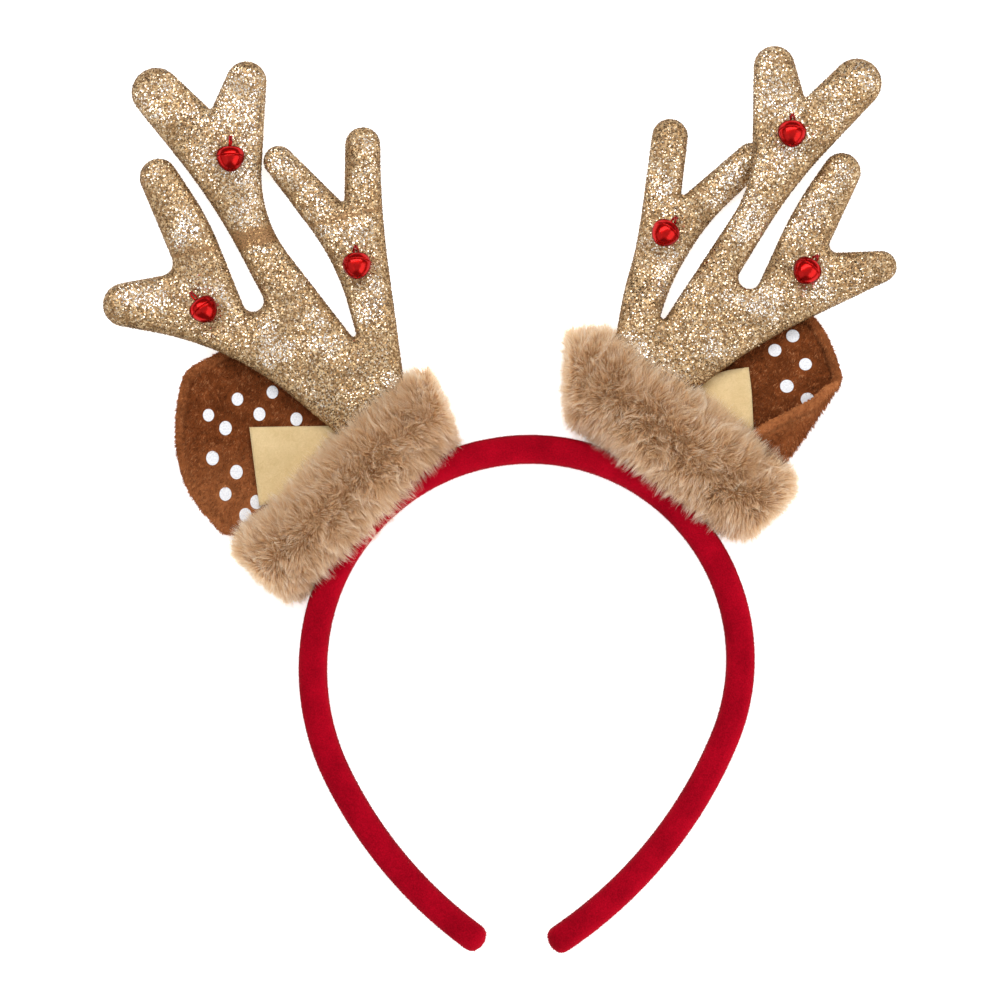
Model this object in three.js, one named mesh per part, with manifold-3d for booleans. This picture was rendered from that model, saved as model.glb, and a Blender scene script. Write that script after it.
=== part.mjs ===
// Reindeer antler headband lying flat on its back: a padded velvet band, two padded glitter antlers,
// two plush ears with felt linings, two fur cuffs and six small bells. Millimetres, +Z up, +Y to the tines.
import * as THREE from 'three';
import { mergeVertices } from 'three/addons/utils/BufferGeometryUtils.js';
import Module from 'manifold-3d';

const wasm = await Module();
wasm.setup();

// Space left between pieces that touch on the real object
const GAP = 0.35;

// Band: arcs that leave the middle of the crown to either side, each with a radius and a sweep in degrees
const BAND_APEX = new THREE.Vector2(9.1, 15.2);
const BAND_LEFT = [
  { radius: 65.2, sweep: 81.7 },
  { radius: 71.7, sweep: 34.4 },
  { radius: 133, sweep: 27.9 },
];
const BAND_RIGHT = [
  { radius: 63.1, sweep: 84.6 },
  { radius: 62, sweep: 28 },
  { radius: 135, sweep: 33.2 },
];
const BAND_STEP = 6.5;
const BAND_THICK = 9;
const BAND_DEPTH = 12;
const BAND_CORNER = 3.2;
const TIP_ROUND = 3;

// Antlers: the outline is a belt laid clockwise round circles. A positive bend is the radius of a rounded
// tip that the belt goes round, a negative bend is the radius of a fork or a hollow edge
const ANTLER_HALF = 2.5;
const ANTLER_PILLOW = [
  { inset: 0, half: 0.5 },
  { inset: 1.3, half: 1.7 },
  { inset: 3.6, half: ANTLER_HALF },
];
const BASE_ROUND = 6;
const ANTLER_SPAN = 130;
const OUTLINE_STEP = 10;
const OUTLINE_TURN = THREE.MathUtils.degToRad(26);
const ANTLER_LEFT = {
  bandRadius: BAND_LEFT[0].radius,
  baseAngle: THREE.MathUtils.degToRad(122.7),
  height: 9.2,
  sag: 4.2,
  outline: [
    { x: -120.7, y: -40.0, bend: -92.0 }, // lower edge
    { x: -112.6, y: 58.6, bend: 6.5 }, // outer branch, low tine
    { x: -102.0, y: 71.1, bend: -3.9 },
    { x: -102.5, y: 96.8, bend: 5.6 }, // outer branch, high tine
    { x: -163.8, y: 44.7, bend: 85.5 },
    { x: -74.1, y: 59.7, bend: -3.3 }, // fork of outer branch and main stem
    { x: -239.3, y: -11.2, bend: -182.5 },
    { x: -103.3, y: 122.5, bend: 7.3 }, // main stem, outer tine
    { x: -87.0, y: 118.2, bend: -0.8 },
    { x: -76.2, y: 125.7, bend: 6.0 }, // main stem, inner tine
    { x: -32.7, y: 97.5, bend: -39.0 },
    { x: -44.0, y: 49.8, bend: -0.9 }, // fork of main stem and inner branch
    { x: -114.6, y: 38.5, bend: -72.0 },
    { x: -66.4, y: 101.7, bend: 4.5 }, // inner branch, outer tine
    { x: -47.4, y: 90.3, bend: -0.8 },
    { x: -41.2, y: 106.6, bend: 5.2 }, // inner branch, upright tine
    { x: 234.0, y: 106.5, bend: -270.0 },
  ],
};
// The inner branch of the right antler is cut a little apart, then bent back and tucked behind the main stem
const TUCK_PIVOT = new THREE.Vector2(43.5, 52.5);
const TUCK_TURN = THREE.MathUtils.degToRad(6);
const TUCK_REACH = 24;
const TUCK_DROP = 5.7;
const ANTLER_RIGHT = {
  bandRadius: BAND_RIGHT[0].radius,
  baseAngle: THREE.MathUtils.degToRad(68.6),
  height: 9.4,
  sag: 1.4,
  outline: [
    { x: -199.2, y: 122.1, bend: -244.5, tucked: true },
    { x: 51.1, y: 109.2, bend: 5.3, tucked: true }, // inner branch, upright tine
    { x: 55.2, y: 92.4, bend: -0.8, tucked: true },
    { x: 75.6, y: 102.5, bend: 4.8, tucked: true }, // inner branch, tine behind the main stem
    { x: 111.0, y: 43.5, bend: -62.4, tucked: true },
    { x: 49.0, y: 55.2, bend: -0.9 }, // fork of inner branch and main stem
    { x: 39.8, y: 105.0, bend: -36.0 },
    { x: 82.3, y: 130.0, bend: 6.1 }, // main stem, inner tine
    { x: 91.8, y: 121.6, bend: -0.8 },
    { x: 107.1, y: 125.1, bend: 7.3 }, // main stem, outer tine
    { x: 201.6, y: 6.6, bend: -142.8 },
    { x: 74.8, y: 66.6, bend: -3.4 }, // fork of main stem and outer branch
    { x: 190.2, y: 29.4, bend: 117.0 },
    { x: 102.5, y: 98.4, bend: 5.6 }, // outer branch, high tine
    { x: 101.1, y: 76.5, bend: -2.4 },
    { x: 114.3, y: 70.0, bend: 4.6 }, // outer branch, low tine
    { x: 173.4, y: -110.8, bend: -184.0 }, // lower edge
  ],
};

// Ears: rows across the plush leaf, each from its near margin to its far margin, measured from a base line.
// Where the near margin is negative the plush is rolled forward over the base line and lies on the front
const EAR_HEIGHT = 2.7;
const EAR_HALF = 1.6;
const EAR_RIM_HALF = 0.9;
const EAR_ROLL = 2.7;
const EAR_LEFT = {
  origin: new THREE.Vector2(-97.5, 45.9),
  along: new THREE.Vector2(0, -1),
  across: new THREE.Vector2(1, 0),
  rows: [
    { along: 0, near: 17.1, far: 26.1 },
    { along: 2.4, near: 11.4, far: 34.5 },
    { along: 6.9, near: 3.6, far: 41.1 },
    { along: 12.9, near: 1.2, far: 46.5 },
    { along: 21.9, near: 0, far: 50.7 },
    { along: 30.9, near: 0.2, far: 52 },
    { along: 39.9, near: 2.3, far: 51 },
    { along: 47.4, near: 6.5, far: 46 },
    { along: 53.4, near: 11.7, far: 38 },
    { along: 56.4, near: 16, far: 30 },
  ],
};
const EAR_RIGHT = {
  origin: new THREE.Vector2(100.3, 38.5),
  along: new THREE.Vector2(-0.584, -0.812),
  across: new THREE.Vector2(-0.812, 0.584),
  rows: [
    { along: -9.9, near: 14.2, far: 17.2 },
    { along: -8.4, near: 9.4, far: 20.2 },
    { along: -5.1, near: 3.4, far: 23.8 },
    { along: -1.8, near: -1.1, far: 25.9 },
    { along: 1.2, near: -4.6, far: 27.4 },
    { along: 4.9, near: -8, far: 28.8 },
    { along: 11, near: -9.4, far: 29.5 },
    { along: 16.9, near: -12.4, far: 29.5 },
    { along: 23.3, near: -15.6, far: 29.2 },
    { along: 28.1, near: -17.6, far: 28.3 },
    { along: 36, near: -18.6, far: 25.9 },
    { along: 42, near: -17, far: 22.4 },
  ],
};

// Felt linings: flat cut pieces lying on the fronts of the ears
const FELT_THICK = 1.2;
const FELT_BOTTOM = EAR_HEIGHT + EAR_HALF + GAP;
const FELT_LEFT = [
  { x: -75.3, y: 21.9 },
  { x: -52.2, y: 22.1 },
  { x: -52.4, y: 16.5 },
  { x: -55.5, y: 8.0 },
  { x: -64.5, y: 0 },
  { x: -72.3, y: -1.8 },
];
const FELT_RIGHT = [
  { x: 74.7, y: 39.9 },
  { x: 75.6, y: 32.4 },
  { x: 76.2, y: 20.7 },
  { x: 70.5, y: 15.0 },
  { x: 63.6, y: 21.0 },
  { x: 62.4, y: 35.7 },
  { x: 64.5, y: 37.3 },
  { x: 68.5, y: 39.0 },
];

// Fur cuffs: a roll along a spine, with each patch of its skin drawn out into a lock
const FUR_TURNS = 15;
const FUR_UNDERCUT = THREE.MathUtils.degToRad(30);
const LOCK_LENGTH = 2.6;
const LOCK_VARY = 1.6;
const LOCK_ROOM = 4;
const FUR_LEFT = [
  { x: -73.8, y: -26.6, half: 6.5, top: 10 },
  { x: -71.8, y: -24.4, half: 11.4, top: 15 },
  { x: -67.4, y: -19.6, half: 12.6, top: 19 },
  { x: -60.0, y: -11.4, half: 12.8, top: 21.5 },
  { x: -51.0, y: -1.6, half: 12.7, top: 22.5 },
  { x: -42.0, y: 8.2, half: 12.6, top: 22.5 },
  { x: -33.0, y: 17.6, half: 12.6, top: 22 },
  { x: -25.8, y: 24.8, half: 12.5, top: 20 },
  { x: -21.4, y: 29.2, half: 11.4, top: 16 },
  { x: -19.4, y: 31.4, half: 6.5, top: 10 },
];
const FUR_RIGHT = [
  { x: 19.4, y: 38.0, half: 9, top: 10 },
  { x: 22.0, y: 37.6, half: 13.8, top: 16 },
  { x: 27.0, y: 35.8, half: 15, top: 20 },
  { x: 35.1, y: 31.2, half: 14.6, top: 22.5 },
  { x: 43.5, y: 25.8, half: 14.4, top: 23.5 },
  { x: 52.5, y: 19.5, half: 14.2, top: 23.5 },
  { x: 61.5, y: 12.8, half: 14, top: 22.5 },
  { x: 70.8, y: 5.4, half: 13.8, top: 20.5 },
  { x: 79.4, y: -1.8, half: 12.6, top: 16.5 },
  { x: 83.8, y: -5.6, half: 6.5, top: 10 },
];

// Bells: two domes with a pressed seam, a crossed slot below and a wire loop above, lying on the antlers.
// Heading is the way the loop points in plan and tilt is how far it rises, both in degrees
const BELL_RADIUS = 4;
const BELL_SEAM = 0.25;
const BELL_WALL = 0.6;
const SLOT_WIDTH = 0.8;
const SLOT_REACH = 2.6;
const LOOP_RADIUS = 1.35;
const LOOP_WIRE = 0.35;
const BELLS = [
  { name: 'bell_left_main', antler: ANTLER_LEFT, x: -80.7, y: 102.6, heading: 90, tilt: -12 },
  { name: 'bell_left_inner', antler: ANTLER_LEFT, x: -42.8, y: 70.5, heading: 92, tilt: 20 },
  { name: 'bell_left_outer', antler: ANTLER_LEFT, x: -89.1, y: 57.4, heading: 135, tilt: -8 },
  { name: 'bell_right_main', antler: ANTLER_RIGHT, x: 87.6, y: 110.2, heading: 84, tilt: -10 },
  { name: 'bell_right_inner', antler: ANTLER_RIGHT, x: 49.8, y: 80.2, heading: 45, tilt: -8 },
  { name: 'bell_right_outer', antler: ANTLER_RIGHT, x: 92.0, y: 68.8, heading: 52, tilt: -8 },
];

const VELVET = { color: '#b00522', roughness: 0.85, metalness: 0 };
const GLITTER = { color: '#b9966a', roughness: 0.35, metalness: 0.5 };
const FUR = { color: '#b08a68', roughness: 0.95, metalness: 0 };
const PLUSH = { color: '#6e3719', roughness: 0.9, metalness: 0 };
const FELT = { color: '#e8d096', roughness: 0.95, metalness: 0 };
const BELL_RED = { color: '#b4140f', roughness: 0.2, metalness: 0.9 };

// A closed body from rows of points, each row a closed ring, with its ends filled by fans
function loft(rings) {
  const size = rings[0].length;
  const points = rings.flat();
  const faces = [];
  for (let row = 0; row < rings.length - 1; row++) {
    for (let side = 0; side < size; side++) {
      const a = row * size + side;
      const b = row * size + (side + 1) % size;
      faces.push(a, b, b + size, a, b + size, a + size);
    }
  }
  for (const row of [0, rings.length - 1]) {
    const middle = rings[row].reduce((sum, point) => sum.add(point), new THREE.Vector3());
    const hub = points.push(middle.divideScalar(size)) - 1;
    for (let side = 0; side < size; side++) {
      const a = row * size + side;
      const b = row * size + (side + 1) % size;
      faces.push(...(row === 0 ? [b, a, hub] : [a, b, hub]));
    }
  }
  return faced(points, faces);
}

// Indexed geometry whose faces point out of the body
function faced(points, faces) {
  const geometry = new THREE.BufferGeometry().setFromPoints(points);
  const corner = (index) => points[faces[index]];
  let volume = 0;
  for (let i = 0; i < faces.length; i += 3) {
    volume += corner(i).dot(new THREE.Vector3().crossVectors(corner(i + 1), corner(i + 2)));
  }
  geometry.setIndex(volume > 0 ? faces : faces.toReversed());
  return geometry;
}

function bodyOf(geometry) {
  const bare = geometry.clone();
  bare.deleteAttribute('normal');
  bare.deleteAttribute('uv');
  const welded = mergeVertices(bare, 1e-4);
  return new wasm.Manifold(new wasm.Mesh({
    numProp: 3,
    vertProperties: welded.attributes.position.array,
    triVerts: new Uint32Array(welded.index.array),
  }));
}

function geometryOf(body) {
  const mesh = body.getMesh();
  const geometry = new THREE.BufferGeometry();
  geometry.setAttribute('position', new THREE.BufferAttribute(mesh.vertProperties, 3));
  geometry.setIndex(new THREE.BufferAttribute(mesh.triVerts, 1));
  return geometry;
}

const smooth = (value) => THREE.MathUtils.smoothstep(value, 0, 1);

// Band
// Places along one half of the centreline after its middle, each with the way out of the hoop
function bandHalf(side, arcs) {
  const stations = [];
  let turned = 0;
  let start = BAND_APEX;
  for (const { radius, sweep } of arcs) {
    const turn = THREE.MathUtils.degToRad(sweep);
    const outAt = (angle) => new THREE.Vector2(side * Math.sin(angle), Math.cos(angle));
    const hub = start.clone().addScaledVector(outAt(turned), -radius);
    const steps = Math.round(radius * turn / BAND_STEP);
    for (let step = 1; step <= steps; step++) {
      const out = outAt(turned + turn * step / steps);
      stations.push({ point: hub.clone().addScaledVector(out, radius), out });
    }
    start = stations.at(-1).point;
    turned += turn;
  }
  return stations;
}

// Rounded rectangle across the band, pulled in from all sides by a margin
function bandRing({ point, out }, margin, advance) {
  const ring = [];
  const reach = BAND_THICK / 2 - BAND_CORNER;
  const rise = BAND_DEPTH / 2 - BAND_CORNER;
  const corner = BAND_CORNER - margin;
  for (let step = 0; step < 12; step++) {
    const quarter = Math.floor(step / 3);
    const angle = (quarter + (step % 3) / 2) * Math.PI / 2;
    const across = (quarter === 0 || quarter === 3 ? reach : -reach) + corner * Math.cos(angle);
    const up = (quarter < 2 ? rise : -rise) + corner * Math.sin(angle);
    const place = point.clone().addScaledVector(out, across).add(advance);
    ring.push(new THREE.Vector3(place.x, place.y, BAND_DEPTH / 2 + up));
  }
  return ring;
}

function band(grow) {
  const crown = { point: BAND_APEX, out: new THREE.Vector2(0, 1) };
  const stations = [...bandHalf(-1, BAND_LEFT).toReversed(), crown, ...bandHalf(1, BAND_RIGHT)];
  const still = new THREE.Vector2();
  const rings = stations.map((station) => bandRing(station, -grow, still));
  const last = stations.length - 1;
  const ends = [
    { station: stations[0], turn: Math.PI / 2 },
    { station: stations[last], turn: -Math.PI / 2 },
  ];
  const tips = ends.map(({ station, turn }) => [Math.PI / 4, Math.PI / 2].map((angle) => {
    const advance = station.out.clone().rotateAround(still, turn);
    advance.multiplyScalar(TIP_ROUND * Math.sin(angle));
    return bandRing(station, TIP_ROUND * (1 - Math.cos(angle)) - grow, advance);
  }));
  return loft([...tips[0].toReversed(), ...rings, ...tips[1]]);
}

// Antlers
// How much of the tuck has come in at a height on the plan
function tuckPart(y) {
  return smooth((y - TUCK_PIVOT.y) / TUCK_REACH);
}

// Round foot of an antler, standing on the outside of the band
function antlerBase({ bandRadius, baseAngle }) {
  const reach = bandRadius + BAND_THICK / 2 + GAP + BASE_ROUND;
  return {
    x: BAND_APEX.x + reach * Math.cos(baseAngle),
    y: BAND_APEX.y - bandRadius + reach * Math.sin(baseAngle),
    bend: BASE_ROUND,
  };
}

// Height of the middle of the padding over a point of the plan
function antlerHeight(antler, x, y, tucked) {
  const base = antlerBase(antler);
  const part = Math.hypot(x - base.x, y - base.y) / ANTLER_SPAN;
  return antler.height - antler.sag * part * part - (tucked ? TUCK_DROP * tuckPart(y) : 0);
}

// Points of the cut pattern, each with the way into the antler
function antlerPattern(antler) {
  const away = (row) => {
    const spot = new THREE.Vector2(row.x, row.y).rotateAround(TUCK_PIVOT, TUCK_TURN);
    return { ...row, x: spot.x, y: spot.y };
  };
  const rows = [antlerBase(antler), ...antler.outline.map((row) => (row.tucked ? away(row) : row))];
  const count = rows.length;
  const headings = rows.map((row, index) => {
    const next = rows[(index + 1) % count];
    const dx = next.x - row.x;
    const dy = next.y - row.y;
    return Math.atan2(dy, dx) + Math.asin((next.bend - row.bend) / Math.hypot(dx, dy));
  });
  const points = [];
  const put = (row, heading) => {
    const into = new THREE.Vector2(Math.sin(heading), -Math.cos(heading));
    points.push({ x: row.x - row.bend * into.x, y: row.y - row.bend * into.y, into, tucked: row.tucked });
  };
  rows.forEach((row, index) => {
    const start = headings[(index + count - 1) % count];
    const turn = THREE.MathUtils.euclideanModulo(headings[index] - start, 2 * Math.PI);
    const sweep = row.bend > 0 ? turn - 2 * Math.PI : turn;
    const length = Math.abs(sweep * row.bend);
    const steps = Math.ceil(Math.max(Math.abs(sweep) / OUTLINE_TURN, length / OUTLINE_STEP));
    for (let step = 0; step <= steps; step++) {
      put(row, start + sweep * step / steps);
    }
    const next = rows[(index + 1) % count];
    const from = points.at(-1);
    const end = { x: next.x - next.bend * from.into.x, y: next.y - next.bend * from.into.y };
    const pieces = Math.ceil(Math.hypot(end.x - from.x, end.y - from.y) / OUTLINE_STEP);
    for (let piece = 1; piece < pieces; piece++) {
      const part = piece / pieces;
      const x = THREE.MathUtils.lerp(from.x, end.x, part);
      const y = THREE.MathUtils.lerp(from.y, end.y, part);
      points.push({ x, y, into: from.into, tucked: row.tucked });
    }
  });
  return points;
}

// Runs of pattern points that bound the flat of the antler: a tucked branch is a panel of its own
function antlerPanels(pattern) {
  const all = pattern.map((point, index) => index);
  const bent = all.filter((index) => pattern[index].tucked && pattern[index].y > TUCK_PIVOT.y);
  if (bent.length === 0) {
    return [all];
  }
  const first = bent[0] - 1;
  const last = bent.at(-1) + 1;
  return [all.slice(first, last + 1), [...all.slice(0, first + 1), ...all.slice(last)]];
}

function antlerSolid(antler, grow) {
  const pattern = antlerPattern(antler);
  const count = pattern.length;
  const layers = [
    ...ANTLER_PILLOW.toReversed().map(({ inset, half }) => ({ inset, rise: -half })),
    ...ANTLER_PILLOW.map(({ inset, half }) => ({ inset, rise: half })),
  ];
  const points = layers.flatMap(({ inset, rise }) => pattern.map(({ x, y, into, tucked }) => {
    const spot = new THREE.Vector2(x, y).addScaledVector(into, inset - grow);
    if (tucked) {
      spot.rotateAround(TUCK_PIVOT, -TUCK_TURN * tuckPart(y));
    }
    const height = antlerHeight(antler, x, y, tucked) + rise + grow * Math.sign(rise);
    return new THREE.Vector3(spot.x, spot.y, height);
  }));
  const faces = [];
  for (let layer = 0; layer < layers.length - 1; layer++) {
    for (let side = 0; side < count; side++) {
      const a = layer * count + side;
      const b = layer * count + (side + 1) % count;
      faces.push(a, a + count, b + count, a, b + count, b);
    }
  }
  const inset = ANTLER_PILLOW.at(-1).inset;
  const rim = pattern.map(({ x, y, into }) => new THREE.Vector2(x, y).addScaledVector(into, inset - grow));
  const top = (layers.length - 1) * count;
  for (const panel of antlerPanels(pattern)) {
    for (const corners of THREE.ShapeUtils.triangulateShape(panel.map((index) => rim[index]), [])) {
      const [a, b, c] = corners.map((corner) => panel[corner]);
      faces.push(a, c, b, top + a, top + b, top + c);
    }
  }
  return faced(points, faces);
}

// Ears
// Place and facing of the plush at a distance across the ear, rolled forward where that is negative
function earSpot(ear, along, across) {
  const spot = { over: across, rise: 0, lean: 0, face: 1 };
  const angle = -across / EAR_ROLL;
  if (angle > Math.PI) {
    spot.over = -across - Math.PI * EAR_ROLL;
    spot.rise = 2 * EAR_ROLL;
    spot.face = -1;
  } else if (angle > 0) {
    spot.over = -EAR_ROLL * Math.sin(angle);
    spot.rise = EAR_ROLL * (1 - Math.cos(angle));
    spot.lean = Math.sin(angle);
    spot.face = Math.cos(angle);
  }
  const plan = ear.origin.clone().addScaledVector(ear.along, along).addScaledVector(ear.across, spot.over);
  const place = new THREE.Vector3(plan.x, plan.y, EAR_HEIGHT + spot.rise);
  const facing = new THREE.Vector3(ear.across.x * spot.lean, ear.across.y * spot.lean, spot.face);
  return { place, facing };
}

// Closed body between a front and a back grid of points with the same rows and columns
function sheet(front, back) {
  const rows = front.length;
  const columns = front[0].length;
  const points = [...front.flat(), ...back.flat()];
  const at = (side, row, column) => side * rows * columns + row * columns + column;
  const faces = [];
  for (let row = 0; row < rows - 1; row++) {
    for (let column = 0; column < columns - 1; column++) {
      for (const side of [0, 1]) {
        const quad = [
          at(side, row, column),
          at(side, row, column + 1),
          at(side, row + 1, column + 1),
          at(side, row + 1, column),
        ];
        const [a, b, c, d] = side === 0 ? quad : quad.toReversed();
        faces.push(a, b, c, a, c, d);
      }
    }
  }
  const wall = (a, b) => {
    const back0 = a + rows * columns;
    const back1 = b + rows * columns;
    faces.push(b, a, back0, b, back0, back1);
  };
  for (let column = 0; column < columns - 1; column++) {
    wall(at(0, 0, column), at(0, 0, column + 1));
    wall(at(0, rows - 1, column + 1), at(0, rows - 1, column));
  }
  for (let row = 0; row < rows - 1; row++) {
    wall(at(0, row + 1, 0), at(0, row, 0));
    wall(at(0, row, columns - 1), at(0, row + 1, columns - 1));
  }
  return faced(points, faces);
}

function earSolid(ear) {
  const rolled = ear.rows.some(({ near }) => near < 0);
  const rollColumns = rolled ? 10 : 1;
  const flatColumns = 4;
  const last = ear.rows.length - 1;
  const front = [];
  const back = [];
  ear.rows.forEach((row, index) => {
    const split = Math.max(row.near + 3, Math.min(row.near + 6, 1));
    const stops = [];
    for (let column = 0; column < rollColumns; column++) {
      stops.push(THREE.MathUtils.lerp(row.near, split, column / rollColumns));
    }
    for (let column = 0; column <= flatColumns; column++) {
      stops.push(THREE.MathUtils.lerp(split, row.far, column / flatColumns));
    }
    const edgeRow = index === 0 || index === last;
    const spots = stops.map((stop, column) => {
      const edge = edgeRow || column === 0 || column === stops.length - 1;
      return { ...earSpot(ear, row.along, stop), half: edge ? EAR_RIM_HALF : EAR_HALF };
    });
    front.push(spots.map(({ place, facing, half }) => place.clone().addScaledVector(facing, half)));
    back.push(spots.map(({ place, facing, half }) => place.clone().addScaledVector(facing, -half)));
  });
  return sheet(front, back);
}

// Room that an ear and its fold take up in the fur, open down through the resting plane
function earRoom(ear) {
  const below = -1;
  const front = [];
  const back = [];
  ear.rows.forEach(({ along, near, far }, index) => {
    const beyond = index === 0 ? -GAP : 0;
    const past = index === ear.rows.length - 1 ? GAP : 0;
    const turned = THREE.MathUtils.clamp(-near / EAR_ROLL, 0, Math.PI);
    const rise = EAR_ROLL * (1 - Math.cos(turned));
    const edge = (near < 0 ? -EAR_ROLL - EAR_HALF : near) - GAP;
    const flap = Math.max(edge + 1, -near - Math.PI * EAR_ROLL + EAR_HALF + GAP);
    const stops = [
      { over: edge, rise },
      { over: flap, rise },
      { over: flap + 1, rise: 0 },
      { over: far + GAP, rise: 0 },
    ];
    const spots = stops.map((stop) => {
      const plan = ear.origin.clone().addScaledVector(ear.along, along + beyond + past);
      plan.addScaledVector(ear.across, stop.over);
      return new THREE.Vector3(plan.x, plan.y, EAR_HEIGHT + EAR_HALF + GAP + stop.rise);
    });
    front.push(spots);
    back.push(spots.map((spot) => spot.clone().setZ(below)));
  });
  return sheet(front, back);
}

// Felt linings
function feltSolid(corners, grow) {
  const outline = new THREE.Shape(corners.map(({ x, y }) => new THREE.Vector2(x, y)));
  const geometry = new THREE.ExtrudeGeometry(outline, {
    depth: FELT_THICK,
    bevelEnabled: grow > 0,
    bevelThickness: grow,
    bevelSize: grow,
    bevelSegments: 1,
  });
  return geometry.translate(0, 0, FELT_BOTTOM);
}

// Fur cuffs
function furSolid(spine, seed) {
  let state = seed;
  const random = () => {
    state = (state * 16807) % 2147483647;
    return state / 2147483647;
  };
  const last = spine.length - 1;
  const rings = spine.map(({ x, y, half, top }, index) => {
    const before = spine[Math.max(index - 1, 0)];
    const after = spine[Math.min(index + 1, last)];
    const side = new THREE.Vector2(after.y - before.y, before.x - after.x).normalize();
    const rise = top / (1 + Math.sin(FUR_UNDERCUT));
    const ring = [];
    for (let turn = 0; turn <= FUR_TURNS; turn++) {
      const angle = (Math.PI + 2 * FUR_UNDERCUT) * turn / FUR_TURNS - FUR_UNDERCUT;
      const reach = half * Math.cos(angle);
      const height = rise * (Math.sin(FUR_UNDERCUT) + Math.sin(angle));
      ring.push(new THREE.Vector3(x + side.x * reach, y + side.y * reach, Math.max(height, 0)));
    }
    return ring;
  });
  const size = FUR_TURNS + 1;
  const points = rings.flat();
  const faces = [];
  for (let row = 0; row < last; row++) {
    for (let turn = 0; turn < FUR_TURNS; turn++) {
      const a = row * size + turn;
      const quad = [a, a + 1, a + 1 + size, a + size];
      const [p, q, r, s] = quad.map((index) => points[index]);
      const out = new THREE.Vector3().crossVectors(r.clone().sub(p), s.clone().sub(q)).normalize();
      const tip = p.clone().add(q).add(r).add(s).divideScalar(4);
      const room = Math.min(1, p.distanceTo(q) / LOCK_ROOM, p.distanceTo(s) / LOCK_ROOM);
      tip.addScaledVector(out, -room * (LOCK_LENGTH + LOCK_VARY * (random() - 0.5)));
      tip.x += room * LOCK_VARY * (random() - 0.5);
      tip.y += room * LOCK_VARY * (random() - 0.5);
      tip.z = Math.max(tip.z, 0);
      const lock = points.push(tip) - 1;
      quad.forEach((corner, index) => faces.push(quad[(index + 1) % 4], corner, lock));
    }
    const a = row * size;
    const b = a + FUR_TURNS;
    faces.push(a, b, b + size, a, b + size, a + size);
  }
  for (const row of [0, last]) {
    const middle = rings[row].reduce((sum, point) => sum.add(point), new THREE.Vector3());
    const hub = points.push(middle.divideScalar(size)) - 1;
    for (let turn = 0; turn < size; turn++) {
      const a = row * size + turn;
      const b = row * size + (turn + 1) % size;
      faces.push(...(row === 0 ? [a, b, hub] : [b, a, hub]));
    }
  }
  return faced(points, faces);
}

function furCuff(spine, seed, antler, ear, felt) {
  return [
    band(GAP),
    antlerSolid(antler, GAP),
    earRoom(ear),
    feltSolid(felt, GAP),
  ].reduce((fur, piece) => fur.subtract(bodyOf(piece)), bodyOf(furSolid(spine, seed)));
}

// Bells
function bellSolid() {
  const dome = (radius, rows, turns, seam) => {
    const profile = [];
    for (let row = 0; row <= rows; row++) {
      const angle = Math.PI * (row / rows - 0.5);
      const bulge = seam > 0 && row === rows / 2 ? seam : 0;
      profile.push(new THREE.Vector2((radius + bulge) * Math.cos(angle), radius * Math.sin(angle)));
    }
    profile[0].x = 0;
    profile[rows].x = 0;
    return new THREE.LatheGeometry(profile, turns).rotateX(Math.PI / 2);
  };
  const slot = (turn) => new THREE.BoxGeometry(2 * SLOT_REACH, SLOT_WIDTH, BELL_RADIUS)
    .rotateZ(turn)
    .translate(0, 0, -BELL_RADIUS);
  const loop = new THREE.TorusGeometry(LOOP_RADIUS, LOOP_WIRE, 4, 10)
    .rotateX(Math.PI / 2)
    .translate(0, 0, BELL_RADIUS + LOOP_RADIUS - LOOP_WIRE / 2);
  return bodyOf(dome(BELL_RADIUS, 6, 10, BELL_SEAM))
    .subtract(bodyOf(dome(BELL_RADIUS - BELL_WALL, 4, 8, 0)))
    .subtract(bodyOf(slot(0)))
    .subtract(bodyOf(slot(Math.PI / 2)))
    .add(bodyOf(loop));
}

function placedBell({ antler, x, y, heading, tilt }) {
  const above = new THREE.Raycaster(new THREE.Vector3(x, y, 100), new THREE.Vector3(0, 0, -1));
  const [rest] = above.intersectObject(new THREE.Mesh(antlerSolid(antler, 0)));
  const lift = rest.point.z + 1.5 * GAP + BELL_RADIUS + BELL_SEAM;
  const way = THREE.MathUtils.degToRad(heading);
  const rise = THREE.MathUtils.degToRad(tilt);
  const level = Math.cos(rise);
  const up = new THREE.Vector3(Math.cos(way) * level, Math.sin(way) * level, Math.sin(rise));
  const turn = new THREE.Quaternion().setFromUnitVectors(new THREE.Vector3(0, 0, 1), up);
  return geometryOf(bellSolid()).applyQuaternion(turn).translate(x, y, lift);
}

// Assembly
const part = new THREE.Group();
part.name = 'reindeer_antler_headband';

function place(name, geometry, finish) {
  const mesh = new THREE.Mesh(geometry, new THREE.MeshStandardMaterial(finish));
  mesh.name = name;
  part.add(mesh);
}

place('headband', band(0), VELVET);
place('antler_left', antlerSolid(ANTLER_LEFT, 0), GLITTER);
place('antler_right', antlerSolid(ANTLER_RIGHT, 0), GLITTER);
place('ear_left', earSolid(EAR_LEFT), PLUSH);
place('ear_right', earSolid(EAR_RIGHT), PLUSH);
place('ear_felt_left', feltSolid(FELT_LEFT, 0), FELT);
place('ear_felt_right', feltSolid(FELT_RIGHT, 0), FELT);
place('fur_cuff_left', geometryOf(furCuff(FUR_LEFT, 7, ANTLER_LEFT, EAR_LEFT, FELT_LEFT)), FUR);
place('fur_cuff_right', geometryOf(furCuff(FUR_RIGHT, 11, ANTLER_RIGHT, EAR_RIGHT, FELT_RIGHT)), FUR);
for (const bell of BELLS) {
  place(bell.name, placedBell(bell), BELL_RED);
}

// The middle of the plan is the origin, and the resting plane is zero height
const box = new THREE.Box3().setFromObject(part);
const middle = box.getCenter(new THREE.Vector3());
for (const mesh of part.children) {
  mesh.geometry.translate(-middle.x, -middle.y, -box.min.z);
}

export default part;
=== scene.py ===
import math

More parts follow.
